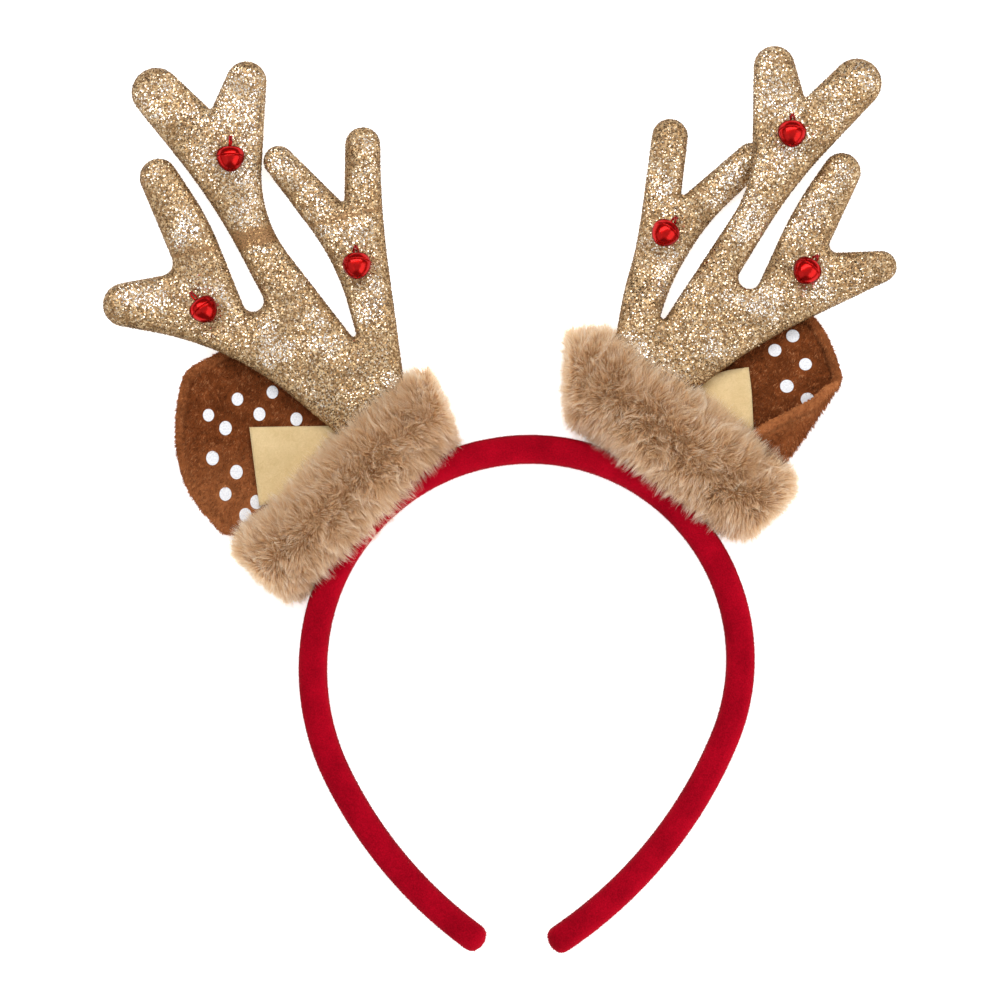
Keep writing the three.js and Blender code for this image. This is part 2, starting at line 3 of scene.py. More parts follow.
import bmesh
import bpy
import numpy as np
from mathutils import Matrix, Vector, noise
from mathutils.geometry import delaunay_2d_cdt


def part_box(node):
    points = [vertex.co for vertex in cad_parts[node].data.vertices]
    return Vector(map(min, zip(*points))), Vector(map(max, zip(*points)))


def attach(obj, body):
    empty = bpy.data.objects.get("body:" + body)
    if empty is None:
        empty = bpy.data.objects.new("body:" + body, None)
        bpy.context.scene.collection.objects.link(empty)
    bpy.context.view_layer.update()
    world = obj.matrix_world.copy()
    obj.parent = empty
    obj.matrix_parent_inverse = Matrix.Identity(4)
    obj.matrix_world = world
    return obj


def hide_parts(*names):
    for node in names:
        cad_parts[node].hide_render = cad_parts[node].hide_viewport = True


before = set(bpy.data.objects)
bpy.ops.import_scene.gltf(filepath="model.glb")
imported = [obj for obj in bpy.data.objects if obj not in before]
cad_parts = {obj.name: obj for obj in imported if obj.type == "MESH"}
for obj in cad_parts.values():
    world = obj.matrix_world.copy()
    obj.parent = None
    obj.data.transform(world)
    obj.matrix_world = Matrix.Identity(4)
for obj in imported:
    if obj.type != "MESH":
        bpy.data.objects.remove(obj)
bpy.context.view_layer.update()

scene = bpy.context.scene


# Studio. The headband lies on its back on a white table under broad soft lamps,
# and a long lens looks at it from straight above.
def put(tree, kind, inputs=None, **settings):
    node = tree.nodes.new(kind)
    for key, value in settings.items():
        setattr(node, key, value)
    for key, value in (inputs or {}).items():
        if isinstance(value, bpy.types.NodeSocket):
            tree.links.new(value, node.inputs[key])
        else:
            node.inputs[key].default_value = value
    return node


def dye(red, green, blue):
    parts = [channel / 255 for channel in (red, green, blue)]
    return [p / 12.92 if p <= 0.04045 else ((p + 0.055) / 1.055) ** 2.4 for p in parts] + [1.0]


def new_finish(name, **values):
    finish = bpy.data.materials.new(name)
    finish.use_nodes = True
    shader = finish.node_tree.nodes["Principled BSDF"]
    for key, value in values.items():
        shader.inputs[key.replace("_", " ")].default_value = value
    return finish, finish.node_tree, shader


VIEW_WIDTH, VIEW_PLANE = 0.3, 0.008
VIEW_MIDDLE = (0.00004, -0.00017)
TABLE_REACH, TABLE_TOP = 4, -2e-4
LAMPS = (  # name, place, width, height, power
    ("key_lamp", (-0.1, 0.72, 1.2), 2.6, 0.5, 16),
    ("sky_lamp", (0.0, -0.1, 2.3), 3.0, 3.0, 15),
    ("right_lamp", (1.1, -0.5, 0.85), 1.6, 1.2, 11),
    ("left_lamp", (-1.1, -0.4, 0.85), 1.6, 1.2, 4),
)

lens = bpy.data.cameras.new("camera")
lens.lens = 250
lens.clip_end = 50
camera = bpy.data.objects.new("camera", lens)
camera.location = (*VIEW_MIDDLE, VIEW_PLANE + VIEW_WIDTH * lens.lens / lens.sensor_width)
scene.collection.objects.link(camera)
scene.camera = camera
scene.view_settings.view_transform = "Standard"

table_finish, _, table_shader = new_finish("white_table", Roughness=0.9, Emission_Strength=0.65)
table_shader.inputs["Base Color"].default_value = (0.93, 0.93, 0.93, 1)
table_shader.inputs["Emission Color"].default_value = (1, 1, 1, 1)
table_ways = ((-1, -1), (1, -1), (1, 1), (-1, 1))
table_corners = [(x * TABLE_REACH, y * TABLE_REACH, TABLE_TOP) for x, y in table_ways]
table_mesh = bpy.data.meshes.new("table")
table_mesh.from_pydata(table_corners, [], [(0, 1, 2, 3)])
table_mesh.materials.append(table_finish)
table = bpy.data.objects.new("table", table_mesh)
scene.collection.objects.link(table)

for name, place, width, height, power in LAMPS:
    lamp = bpy.data.lights.new(name, "AREA")
    lamp.shape = "RECTANGLE"
    lamp.size, lamp.size_y = width, height
    lamp.energy = power
    lamp_object = bpy.data.objects.new(name, lamp)
    lamp_object.location = place
    lamp_object.rotation_euler = Vector(place).to_track_quat("Z", "Y").to_euler()
    scene.collection.objects.link(lamp_object)

room = bpy.data.worlds.new("room")
room.use_nodes = True
room.node_tree.nodes["Background"].inputs["Color"].default_value = (1, 1, 1, 1)
room.node_tree.nodes["Background"].inputs["Strength"].default_value = 0.26
scene.world = room


# Headband. A springy hoop of flat strip, padded and wrapped in short red velvet, with blunt rounded tips.
# Its line is three arcs to either side of the crown, and the wrapped section is swept along it.
# Plans here are in millimetres as measured in the photo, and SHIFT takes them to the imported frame.
SHIFT = np.array([0.04, -0.168, 0.0])
BAND_APEX, BAND_MIDDLE, BAND_HALF = (9.1, 15.2), 6.0, 0.0043
BAND_LEFT = ((65.2, 81.7), (71.7, 34.4), (133, 29.2))  # radius and sweep in degrees of each arc
BAND_RIGHT = ((63.1, 84.6), (62, 28), (135, 35))
ARC_STEPS = 96
# Side from which light grazes the band: faces turned towards it are painted lighter, a painted sheen
SHEEN_FROM = (0.6, -0.8, 0.0)


def metres(points):
    points = np.asarray(points, float)
    if points.shape[1] == 2:
        points = np.column_stack([points, np.zeros(len(points))])
    return (points + SHIFT) / 1000


def new_mesh(name, points, faces=(), edges=()):
    mesh = bpy.data.meshes.new(name)
    mesh.from_pydata([tuple(p) for p in metres(points)], list(edges), [tuple(f) for f in faces])
    mesh.shade_smooth()
    return mesh


def mark(mesh, name, values, domain="POINT"):
    attribute = mesh.attributes.new(name, "FLOAT", domain)
    attribute.data.foreach_set("value", np.asarray(values, np.float32))


def shown(name, mesh, finish=None):
    if finish is not None:
        mesh.materials.clear()
        mesh.materials.append(finish)
    piece = bpy.data.objects.new(name, mesh)
    scene.collection.objects.link(piece)
    return piece


def new_recipe(name, sizes):
    kinds = {float: "NodeSocketFloat", int: "NodeSocketInt", tuple: "NodeSocketVector"}
    tree = bpy.data.node_groups.new(name, "GeometryNodeTree")
    tree.interface.new_socket("Geometry", in_out="INPUT", socket_type="NodeSocketGeometry")
    for label, value in sizes.items():
        socket = tree.interface.new_socket(label, in_out="INPUT", socket_type=kinds[type(value)])
        socket.default_value = value
    tree.interface.new_socket("Finish", in_out="INPUT", socket_type="NodeSocketMaterial")
    tree.interface.new_socket("Geometry", in_out="OUTPUT", socket_type="NodeSocketGeometry")
    return tree, tree.nodes.new("NodeGroupInput").outputs


def close_recipe(tree, geometry, finish):
    whole = put(tree, "GeometryNodeRealizeInstances", {"Geometry": geometry})
    dressed = put(tree, "GeometryNodeSetMaterial", {"Geometry": whole.outputs[0], "Material": finish})
    end = tree.nodes.new("NodeGroupOutput")
    tree.links.new(dressed.outputs[0], end.inputs[0])


def made_by(tree, name, mesh, **sizes):
    piece = shown(name, mesh)
    step = piece.modifiers.new(tree.name, "NODES")
    step.node_group = tree
    for socket in tree.interface.items_tree:
        label = socket.name.replace(" ", "_")
        if socket.in_out == "INPUT" and label in sizes:
            step[socket.identifier] = sizes[label]
    graph = bpy.context.evaluated_depsgraph_get()
    worked = piece.evaluated_get(graph)
    plain = bpy.data.meshes.new_from_object(worked, preserve_all_data_layers=True, depsgraph=graph)
    piece.modifiers.remove(step)
    piece.data = plain
    return piece


def math_node(tree, operation, *values):
    return put(tree, "ShaderNodeMath", dict(enumerate(values)), operation=operation).outputs[0]


def plus(tree, first, second):
    return math_node(tree, "ADD", first, second)


def minus(tree, first, second):
    return math_node(tree, "SUBTRACT", first, second)


def times(tree, first, second):
    return math_node(tree, "MULTIPLY", first, second)


def weighed(tree, first, first_share, second, second_share):
    return plus(tree, times(tree, first, first_share), times(tree, second, second_share))


def ranged(tree, value, low, high, start=0.0, end=1.0):
    return put(tree, "ShaderNodeMapRange", {0: value, 1: low, 2: high, 3: start, 4: end}).outputs[0]


def vector_node(tree, operation, *values):
    return put(tree, "ShaderNodeVectorMath", dict(enumerate(values)), operation=operation).outputs[0]


def scaled(tree, vector, factor):
    return put(tree, "ShaderNodeVectorMath", {0: vector, "Scale": factor}, operation="SCALE").outputs[0]


def split(tree, vector):
    return put(tree, "ShaderNodeSeparateXYZ", {0: vector}).outputs


def named(tree, name, kind="FLOAT"):
    return put(tree, "GeometryNodeInputNamedAttribute", {"Name": name}, data_type=kind).outputs[0]


def stored(tree, geometry, name, value, kind="FLOAT"):
    inputs = {"Geometry": geometry, "Name": name, "Value": value}
    return put(tree, "GeometryNodeStoreNamedAttribute", inputs, data_type=kind, domain="POINT").outputs[0]


def chance_node(tree, seed, low=0.0, high=1.0):
    return put(tree, "FunctionNodeRandomValue", {2: low, 3: high, "Seed": seed}, data_type="FLOAT").outputs[1]


def painted(tree, name):
    return put(tree, "ShaderNodeAttribute", attribute_name=name).outputs["Fac"]


def on_object(tree):
    return put(tree, "ShaderNodeTexCoord").outputs["Object"]


def grain(tree, scale, detail=2.0, distortion=0.0):
    return put(tree, "ShaderNodeTexNoise", {
        "Vector": on_object(tree), "Scale": scale, "Detail": detail, "Distortion": distortion,
    }).outputs[0]


def ramp(tree, value, *stops):
    node = put(tree, "ShaderNodeValToRGB", {0: value})
    elements = node.color_ramp.elements
    while len(elements) < len(stops):
        elements.new(0.5)
    for element, (position, colour) in zip(elements, stops):
        element.position, element.color = position, colour
    return node.outputs[0]


def roughened(tree, shader, height, strength, distance):
    bump = put(tree, "ShaderNodeBump", {"Height": height, "Strength": strength, "Distance": distance})
    tree.links.new(bump.outputs[0], shader.inputs["Normal"])


# A rounded section swept along a line, narrower towards both ends and rounded off at the tips
def sweep_recipe():
    tree, given = new_recipe("swept_band", {
        "Thickness": 0.0086, "Depth": 0.012, "Corner": 0.0032, "Tip": 0.0036,
        "Taper": 0.05, "Step": 0.0009, "Corner Steps": 5,
    })
    line = put(tree, "GeometryNodeMeshToCurve", {"Mesh": given["Geometry"]})
    spaced = put(tree, "GeometryNodeResampleCurve", {
        "Curve": line.outputs[0], "Length": given["Step"],
    }, mode="LENGTH")
    upright = put(tree, "GeometryNodeSetCurveNormal", {"Curve": spaced.outputs[0]}, mode="Z_UP")
    along = put(tree, "GeometryNodeSplineParameter").outputs["Length"]
    whole = put(tree, "GeometryNodeSplineLength").outputs["Length"]
    near = math_node(tree, "MINIMUM", along, minus(tree, whole, along))
    part = math_node(tree, "MINIMUM", math_node(tree, "DIVIDE", near, given["Tip"]), 1.0)
    left = minus(tree, 1.0, part)
    full = math_node(tree, "SQRT", minus(tree, 1.0, times(tree, left, left)))
    tip = plus(tree, 0.25, times(tree, full, 0.75))
    middle = math_node(tree, "DIVIDE", near, times(tree, whole, 0.5))
    slim = times(tree, given["Taper"], minus(tree, 1.0, middle))
    size = times(tree, tip, minus(tree, 1.0, slim))
    section = put(tree, "GeometryNodeCurvePrimitiveQuadrilateral", {
        "Width": given["Thickness"], "Height": given["Depth"],
    })
    rounded = put(tree, "GeometryNodeFilletCurve", {
        "Curve": section.outputs[0], "Radius": given["Corner"], "Count": given["Corner Steps"],
    }, mode="POLY")
    solid = put(tree, "GeometryNodeCurveToMesh", {
        "Curve": upright.outputs[0], "Profile Curve": rounded.outputs[0], "Scale": size, "Fill Caps": True,
    })
    smooth = put(tree, "GeometryNodeSetShadeSmooth", {"Geometry": solid.outputs[0]})
    close_recipe(tree, smooth.outputs[0], given["Finish"])
    return tree


# Short or long pile: strands on a skin, each leaning with its neighbours and drawn towards its own lock
def pile_recipe():
    tree, given = new_recipe("pile", {
        "Density": 1.0e6, "Length": 0.001, "Width": 0.0002, "Lean": (0.0, 0.0, 0.0),
        "Swirl": 0.5, "Swirl Size": 0.01, "Clump": 0.0, "Clump Size": 0.004,
        "Uneven": 0.3, "Segments": 2, "Seed": 1,
    })
    points = put(tree, "GeometryNodeDistributePointsOnFaces", {
        "Mesh": given["Geometry"], "Seed": given["Seed"],
        "Density": times(tree, given["Density"], minus(tree, 1.0, named(tree, "bare"))),
    })
    here = put(tree, "GeometryNodeInputPosition").outputs[0]
    drift = put(tree, "ShaderNodeTexNoise", {
        "Vector": here, "Scale": math_node(tree, "DIVIDE", 1.0, given["Swirl Size"]), "Detail": 1.0,
    })
    swirl = vector_node(tree, "SUBTRACT", drift.outputs["Color"], (0.5, 0.5, 0.5))
    sway = scaled(tree, swirl, given["Swirl"])
    lock = put(tree, "ShaderNodeTexVoronoi", {
        "Vector": here, "Scale": math_node(tree, "DIVIDE", 1.0, given["Clump Size"]),
    })
    toward = vector_node(tree, "SUBTRACT", lock.outputs["Position"], here)
    rise = vector_node(tree, "ADD", points.outputs["Normal"], given["Lean"])
    way = vector_node(tree, "NORMALIZE", vector_node(tree, "ADD", rise, sway))
    stand = put(tree, "FunctionNodeAlignRotationToVector", {"Vector": way}, axis="Z")
    chance = chance_node(tree, given["Seed"])
    other = chance_node(tree, plus(tree, given["Seed"], 7.0))
    spin = put(tree, "FunctionNodeAxisAngleToRotation", {
        "Axis": (0.0, 0.0, 1.0), "Angle": times(tree, chance, 6.283),
    })
    turned = put(tree, "FunctionNodeRotateRotation", {
        "Rotation": stand.outputs[0], "Rotate By": spin.outputs[0],
    }, rotation_space="LOCAL")
    uneven = minus(tree, 1.0, times(tree, other, given["Uneven"]))
    short = times(tree, minus(tree, 1.0, named(tree, "trim")), uneven)
    size = put(tree, "ShaderNodeCombineXYZ", {
        0: given["Width"], 1: given["Width"], 2: times(tree, given["Length"], short),
    })
    shade = weighed(tree, chance, 0.6, split(tree, lock.outputs["Color"])[0], 0.4)
    tinted = stored(tree, points.outputs[0], "tint", shade)
    pulled = stored(tree, tinted, "pull", scaled(tree, toward, given["Clump"]), "FLOAT_VECTOR")
    blade = put(tree, "GeometryNodeMeshGrid", {
        "Size X": 1.0, "Size Y": 1.0, "Vertices X": 2, "Vertices Y": plus(tree, given["Segments"], 1.0),
    })
    place = split(tree, here)
    measured = stored(tree, blade.outputs[0], "along", plus(tree, place[1], 0.5))
    along = named(tree, "along")
    narrow = minus(tree, 1.0, times(tree, along, along))
    raised = put(tree, "ShaderNodeCombineXYZ", {0: times(tree, place[0], narrow), 2: along})
    strand = put(tree, "GeometryNodeSetPosition", {"Geometry": measured, "Position": raised.outputs[0]})
    pointed = put(tree, "GeometryNodeMergeByDistance", {"Geometry": strand.outputs[0], "Distance": 0.0001})
    sown = put(tree, "GeometryNodeInstanceOnPoints", {
        "Points": pulled, "Instance": pointed.outputs[0],
        "Rotation": turned.outputs[0], "Scale": size.outputs[0],
    })
    grown = put(tree, "GeometryNodeRealizeInstances", {"Geometry": sown.outputs[0]})
    bend = scaled(tree, named(tree, "pull", "FLOAT_VECTOR"), times(tree, along, along))
    bent = put(tree, "GeometryNodeSetPosition", {"Geometry": grown.outputs[0], "Offset": bend})
    above = put(tree, "ShaderNodeCombineXYZ", {
        0: place[0], 1: place[1], 2: math_node(tree, "MAXIMUM", place[2], 0.0001),
    })
    resting = put(tree, "GeometryNodeSetPosition", {
        "Geometry": bent.outputs[0], "Position": above.outputs[0],
    })
    close_recipe(tree, resting.outputs[0], given["Finish"])
    return tree


def band_half(side, arcs):
    def outward(angle):
        return np.stack([side * np.sin(angle), np.cos(angle)], axis=-1)

    start, turned, line = np.array(BAND_APEX), 0.0, []
    for radius, sweep in arcs:
        angles = turned + np.radians(sweep) * np.arange(1, ARC_STEPS + 1) / ARC_STEPS
        hub = start - radius * outward(np.array(turned))
        line.extend(hub + radius * outward(angles))
        start, turned = line[-1], turned + math.radians(sweep)
    return line


velvet, velvet_tree, velvet_shader = new_finish(
    "red_velvet", Roughness=0.9, Sheen_Weight=0.22, Sheen_Roughness=0.35,
    Sheen_Tint=dye(228, 40, 62), Specular_IOR_Level=0.04)
velvet_grain = grain(velvet_tree, 2600.0, 1.0)
velvet_mix = weighed(velvet_tree, grain(velvet_tree, 110.0, 3.0), 0.45, velvet_grain, 0.55)
velvet_across = math_node(velvet_tree, "ABSOLUTE", painted(velvet_tree, "across"))
# Painted shade: the velvet's tone drops near the band's side edges, over the rounded corners
velvet_edge_shade = plus(velvet_tree, velvet_mix, ranged(velvet_tree, velvet_across, 0.86, 1.04, 0.0, -0.3))
# Painted sheen: the velvet is lightened on faces turned towards the grazing light
velvet_tone = plus(velvet_tree, velvet_edge_shade, times(velvet_tree, painted(velvet_tree, "painted_sheen"), 0.3))
velvet_red = ramp(velvet_tree, velvet_tone, (0.3, dye(122, 0, 16)), (0.8, dye(188, 6, 34)))
velvet_tree.links.new(velvet_red, velvet_shader.inputs["Base Color"])
roughened(velvet_tree, velvet_shader, velvet_grain, 0.5, 0.0003)

swept = sweep_recipe()
pile = pile_recipe()
band_line = band_half(-1, BAND_LEFT)[::-1] + [np.array(BAND_APEX)] + band_half(1, BAND_RIGHT)
band_points = np.column_stack([band_line, np.full(len(band_line), BAND_MIDDLE)])
band_edges = [(i, i + 1) for i in range(len(band_points) - 1)]
headband = made_by(swept, "velvet_band", new_mesh("band_line", band_points, edges=band_edges), Finish=velvet)
band_plan = metres(band_points)[:, :2]
# For each point of the band: its distance from the middle line, and a painted sheen that grows as its face
# turns towards the grazing light
across, painted_sheen = [], []
for vertex in headband.data.vertices:
    away = np.array(vertex.co.xy) - band_plan
    across.append(np.sqrt((away ** 2).sum(1).min()) / BAND_HALF)
    painted_sheen.append(max(0.0, vertex.normal.dot(SHEEN_FROM)))
mark(headband.data, "across", across)
mark(headband.data, "painted_sheen", painted_sheen)
band_nap = made_by(pile, "velvet_nap", headband.data.copy(), Density=2.4e6, Length=0.0004, Width=0.00012,
                   Lean=(0.0, -0.3, 0.0), Swirl=1.2, Swirl_Size=0.004, Segments=1, Seed=3, Finish=velvet)
for piece in (headband, band_nap):
    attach(piece, "root")
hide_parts("headband")


# Antlers. Two layers of gold glitter cloth welded together along their outline over a thin filling, sewn to
# the band at the foot. The outline is a belt laid clockwise round circles: a positive bend rounds a tip, a
# negative one hollows an edge or a fork. The right inner branch is bent back behind the main stem.
ANTLER_FULL = (  # distance in from the edge, half thickness
    (0, 0.5), (0.3, 0.7), (0.9, 1.45), (1.8, 1.9), (4, 2.35), (8, 2.7),
)
ANTLER_SPAN, ANTLER_SPACING = 130, 1.3
HALF_BAND, BAND_GAP, FOOT_ROUND = 4.5, 0.35, 6
RIPPLE_RISE, RIPPLE_SIZE = 0.35, 9
TUCK_PIVOT, TUCK_TURN, TUCK_REACH, TUCK_DROP = np.array([43.5, 52.5]), math.radians(6), 24, 5.7
CREASE_PLACE, CREASE_TURN = np.array([-72.7, 78.9]), math.radians(13)
CREASE_HALF, CREASE_FADE, CREASE_REACH, CREASE_NARROW = 3.4, 0.9, 9, 2.4
LEFT_BELT = (  # x, y, bend
    (-120.7, -40.0, -92.0), (-112.6, 58.6, 6.5), (-102.0, 71.1, -3.9), (-102.5, 96.8, 5.6),
    (-163.8, 44.7, 85.5), (-74.1, 59.7, -3.3), (-239.3, -11.2, -182.5), (-103.3, 122.5, 7.3),
    (-87.0, 118.2, -0.8), (-76.2, 125.7, 6.0), (-32.7, 97.5, -39.0), (-44.0, 49.8, -0.9),
    (-114.6, 38.5, -72.0), (-66.4, 101.7, 4.5), (-47.4, 90.3, -0.8), (-41.2, 106.6, 5.2),
    (234.0, 106.5, -270.0),
)
RIGHT_BELT = (
    (-199.2, 122.1, -244.5), (51.1, 109.2, 5.3), (55.2, 92.4, -0.8), (75.6, 102.5, 4.8),
    (111.0, 43.5, -62.4), (49.0, 55.2, -0.9), (39.8, 105.0, -36.0), (82.3, 130.0, 6.1),
    (91.8, 121.6, -0.8), (107.1, 125.1, 7.3), (201.6, 6.6, -142.8), (74.8, 66.6, -3.4),
    (190.2, 29.4, 117.0), (102.5, 98.4, 5.6), (101.1, 76.5, -2.4), (114.3, 70.0, 4.6),
    (173.4, -110.8, -184.0),
)
ANTLERS = {  # outline, tucked rows, radius of the band there, angle of the foot, height, sag, seed
    "antler_left": (LEFT_BELT, 0, 65.2, math.radians(122.7), 9.2, 4.2, 21),
    "antler_right": (RIGHT_BELT, 5, 63.1, math.radians(68.6), 9.4, 1.4, 37),
}


def belt(rows, step=1.4, turn=0.16):
    count, headings, points, tucked = len(rows), [], [], []
    for index, (x, y, bend, _) in enumerate(rows):
        nx, ny, next_bend, _ = rows[(index + 1) % count]
        slant = math.asin((next_bend - bend) / math.hypot(nx - x, ny - y))
        headings.append(math.atan2(ny - y, nx - x) + slant)
    for index, (x, y, bend, tuck) in enumerate(rows):
        start, end = headings[index - 1], headings[index]
        sweep = (end - start) % (2 * math.pi) - (2 * math.pi if bend > 0 else 0)
        steps = max(1, math.ceil(max(abs(sweep) / turn, abs(sweep * bend) / step)))
        for k in range(steps + 1):
            angle = start + sweep * k / steps
            points.append((x - bend * math.sin(angle), y + bend * math.cos(angle)))
            tucked.append(tuck)
        nx, ny, next_bend, _ = rows[(index + 1) % count]
        here = np.array(points[-1])
        there = np.array([nx - next_bend * math.sin(end), ny + next_bend * math.cos(end)])
        pieces = math.ceil(np.linalg.norm(there - here) / step)
        for k in range(1, pieces):
            points.append(tuple(here + (there - here) * k / pieces))
            tucked.append(tuck)
    points, tucked = np.array(points), np.array(tucked)
    apart = np.linalg.norm(points - np.roll(points, 1, axis=0), axis=1) > 0.05
    return points[apart], tucked[apart]


def far_from(points, outline):
    best = np.full(len(points), np.inf)
    for a, b in zip(outline, np.roll(outline, -1, axis=0)):
        along = np.clip(((points - a) @ (b - a)) / max((b - a) @ (b - a), 1e-12), 0, 1)
        best = np.minimum(best, np.linalg.norm(points - a - along[:, None] * (b - a), axis=1))
    return best


def within(points, outline):
    inside = np.zeros(len(points), bool)
    for a, b in zip(outline, np.roll(outline, -1, axis=0)):
        crosses = (a[1] > points[:, 1]) != (b[1] > points[:, 1])
        reach = a[0] + (points[:, 1] - a[1]) * (b[0] - a[0]) / (b[1] - a[1] if b[1] != a[1] else 1e-12)
        inside ^= crosses & (points[:, 0] < reach)
    return inside


# Two cloth faces over a filling: the plan is meshed, laid in space, and opened by its fullness
def stuffed(name, outline, spacing, fullness, lay):
    low, high = outline.min(0), outline.max(0)
    rows = np.arange(low[1], high[1], spacing * 0.866)
    columns = np.arange(low[0], high[0], spacing)
    grid = np.array([(x + spacing / 2 * (k % 2), y) for k, y in enumerate(rows) for x in columns])
    grid = grid[within(grid, outline)]
    grid = grid[far_from(grid, outline) > spacing * 0.55]
    count = len(outline)
    loop = [(k, (k + 1) % count) for k in range(count)]
    corners = [Vector(p) for p in np.vstack([outline, grid])]
    flat, _, faces, _, _, _ = delaunay_2d_cdt(corners, loop, [], 1, 1e-7)
    flat = np.array([tuple(p) for p in flat])
    inset = far_from(flat, outline)
    half = np.interp(inset, *np.array(fullness, float).T)[:, None]
    place, facing = lay(flat)
    total = len(flat)
    edges = {(face[k], face[(k + 1) % 3]): None for face in faces for k in range(3)}
    walls = [(b, a, a + total, b + total) for a, b in edges if (b, a) not in edges]
    back = [tuple(corner + total for corner in reversed(face)) for face in faces]
    sides = np.vstack([place + facing * half, place - facing * half])
    mesh = new_mesh(name, sides, [*faces, *back, *walls])
    form = bmesh.new()
    form.from_mesh(mesh)
    bmesh.ops.recalc_face_normals(form, faces=form.faces)
    form.to_mesh(mesh)
    form.free()
    mark(mesh, "edge", np.concatenate([inset, inset]))
    return mesh


# Metal flakes on the cloth, tilted a little each and rippling together, smaller at the rim and where worn;
# their tone is darker where worn, with painted shade towards the rim and painted glints on the ripples and
# higher up
def glitter_recipe():
    tree, given = new_recipe("glitter", {
        "Density": 2.7e6, "Size": 0.0006, "Tilt": 0.26, "Ripple": 1.3, "Ripple Size": 0.013,
        "Flatten": 0.4, "Lift": 0.00005, "Seed": 1,
    })
    worn = named(tree, "worn")
    inner = ranged(tree, named(tree, "edge"), 0.2, 3.6)
    points = put(tree, "GeometryNodeDistributePointsOnFaces", {
        "Mesh": given["Geometry"], "Density": given["Density"], "Seed": given["Seed"],
    })
    normal = points.outputs["Normal"]
    here = put(tree, "GeometryNodeInputPosition").outputs[0]
    waves = put(tree, "ShaderNodeTexNoise", {
        "Vector": here, "Scale": math_node(tree, "DIVIDE", 1.0, given["Ripple Size"]), "Detail": 1.0,
    })
    centred = vector_node(tree, "SUBTRACT", waves.outputs["Color"], (0.5, 0.5, 0.5))
    raised = put(tree, "GeometryNodeSetPosition", {
        "Geometry": points.outputs[0], "Offset": scaled(tree, normal, given["Lift"]),
    })
    chance = chance_node(tree, given["Seed"])
    jitter = put(tree, "FunctionNodeRandomValue", {
        0: (-1.0, -1.0, -1.0), 1: (1.0, 1.0, 1.0), "Seed": plus(tree, given["Seed"], 5.0),
    }, data_type="FLOAT_VECTOR").outputs[0]
    upright = math_node(tree, "SIGN", split(tree, normal)[2])
    level = put(tree, "ShaderNodeCombineXYZ", {2: times(tree, upright, given["Flatten"])})
    eased = vector_node(tree, "NORMALIZE", vector_node(tree, "ADD", normal, level.outputs[0]))
    rippled = vector_node(tree, "ADD", eased, scaled(tree, centred, given["Ripple"]))
    leaning = vector_node(tree, "ADD", rippled, scaled(tree, jitter, given["Tilt"]))
    way = vector_node(tree, "NORMALIZE", leaning)
    stand = put(tree, "FunctionNodeAlignRotationToVector", {"Vector": way}, axis="Z")
    whole = times(tree, given["Size"], plus(tree, 0.6, times(tree, chance, 0.7)))
    rubbed = times(tree, whole, minus(tree, 1.0, times(tree, worn, 0.2)))
    size = times(tree, rubbed, plus(tree, 0.8, times(tree, inner, 0.2)))
    # Real wear darkens the flakes in the crease; the fall in tone towards the rim is painted shade
    bright = minus(tree, 1.0, times(tree, worn, 0.62))
    worn_and_rim_shade = times(tree, bright, plus(tree, 0.66, times(tree, inner, 0.36)))
    # Painted glints: flakes are lightened where the ripple noise rises, and more of them towards the top of
    # the antler
    glint_threshold = ranged(tree, split(tree, here)[1], 0.02, 0.13, 0.6, 0.34)
    shine = ranged(tree, waves.outputs[0], glint_threshold, 0.64)
    drawn = chance_node(tree, plus(tree, given["Seed"], 11.0), 0.0, 0.65)
    tint = plus(tree, times(tree, shine, 0.35), drawn)
    tinted = stored(tree, raised.outputs[0], "tint", times(tree, tint, worn_and_rim_shade))
    flake = put(tree, "GeometryNodeMeshCircle", {"Vertices": 4, "Radius": 0.5}, fill_type="NGON")
    sown = put(tree, "GeometryNodeInstanceOnPoints", {
        "Points": tinted, "Instance": flake.outputs[0], "Rotation": stand.outputs[0], "Scale": size,
    })
    close_recipe(tree, sown.outputs[0], given["Finish"])
    return tree


def mixed(tree, factor, first, second, blend="MIX"):
    inputs = {0: factor, 6: first, 7: second}
    return put(tree, "ShaderNodeMix", inputs, data_type="RGBA", blend_type=blend).outputs[2]


cloth, cloth_tree, cloth_shader = new_finish("glitter_cloth", Metallic=0.35, Roughness=0.5)
cloth_specks = put(cloth_tree, "ShaderNodeTexVoronoi", {"Vector": on_object(cloth_tree), "Scale": 1500.0})
cloth_speck = put(cloth_tree, "ShaderNodeSeparateColor", {0: cloth_specks.outputs["Color"]}).outputs[0]
cloth_gold = ramp(cloth_tree, cloth_speck,
                  (0.0, dye(112, 80, 46)), (0.5, dye(162, 124, 80)), (1.0, dye(214, 184, 140)))
cloth_worn = mixed(cloth_tree, painted(cloth_tree, "worn"), cloth_gold, dye(150, 108, 66))
cloth_rim = ramp(cloth_tree, painted(cloth_tree, "edge"), (0.0, (1, 1, 1, 1)), (0.5, (0, 0, 0, 1)))
cloth_edge = mixed(cloth_tree, cloth_rim, cloth_worn, dye(132, 98, 60))
cloth_tree.links.new(cloth_edge, cloth_shader.inputs["Base Color"])
roughened(cloth_tree, cloth_shader, cloth_speck, 0.6, 0.0002)

flakes, flakes_tree, flakes_shader = new_finish("gold_flakes", Metallic=1.0, Roughness=0.2)
flakes_gold = ramp(flakes_tree, painted(flakes_tree, "tint"),
                   (0.0, dye(104, 77, 46)), (0.35, dye(159, 128, 89)),
                   (0.55, dye(232, 212, 184)), (0.8, dye(255, 252, 247)))
flakes_tree.links.new(flakes_gold, flakes_shader.inputs["Base Color"])

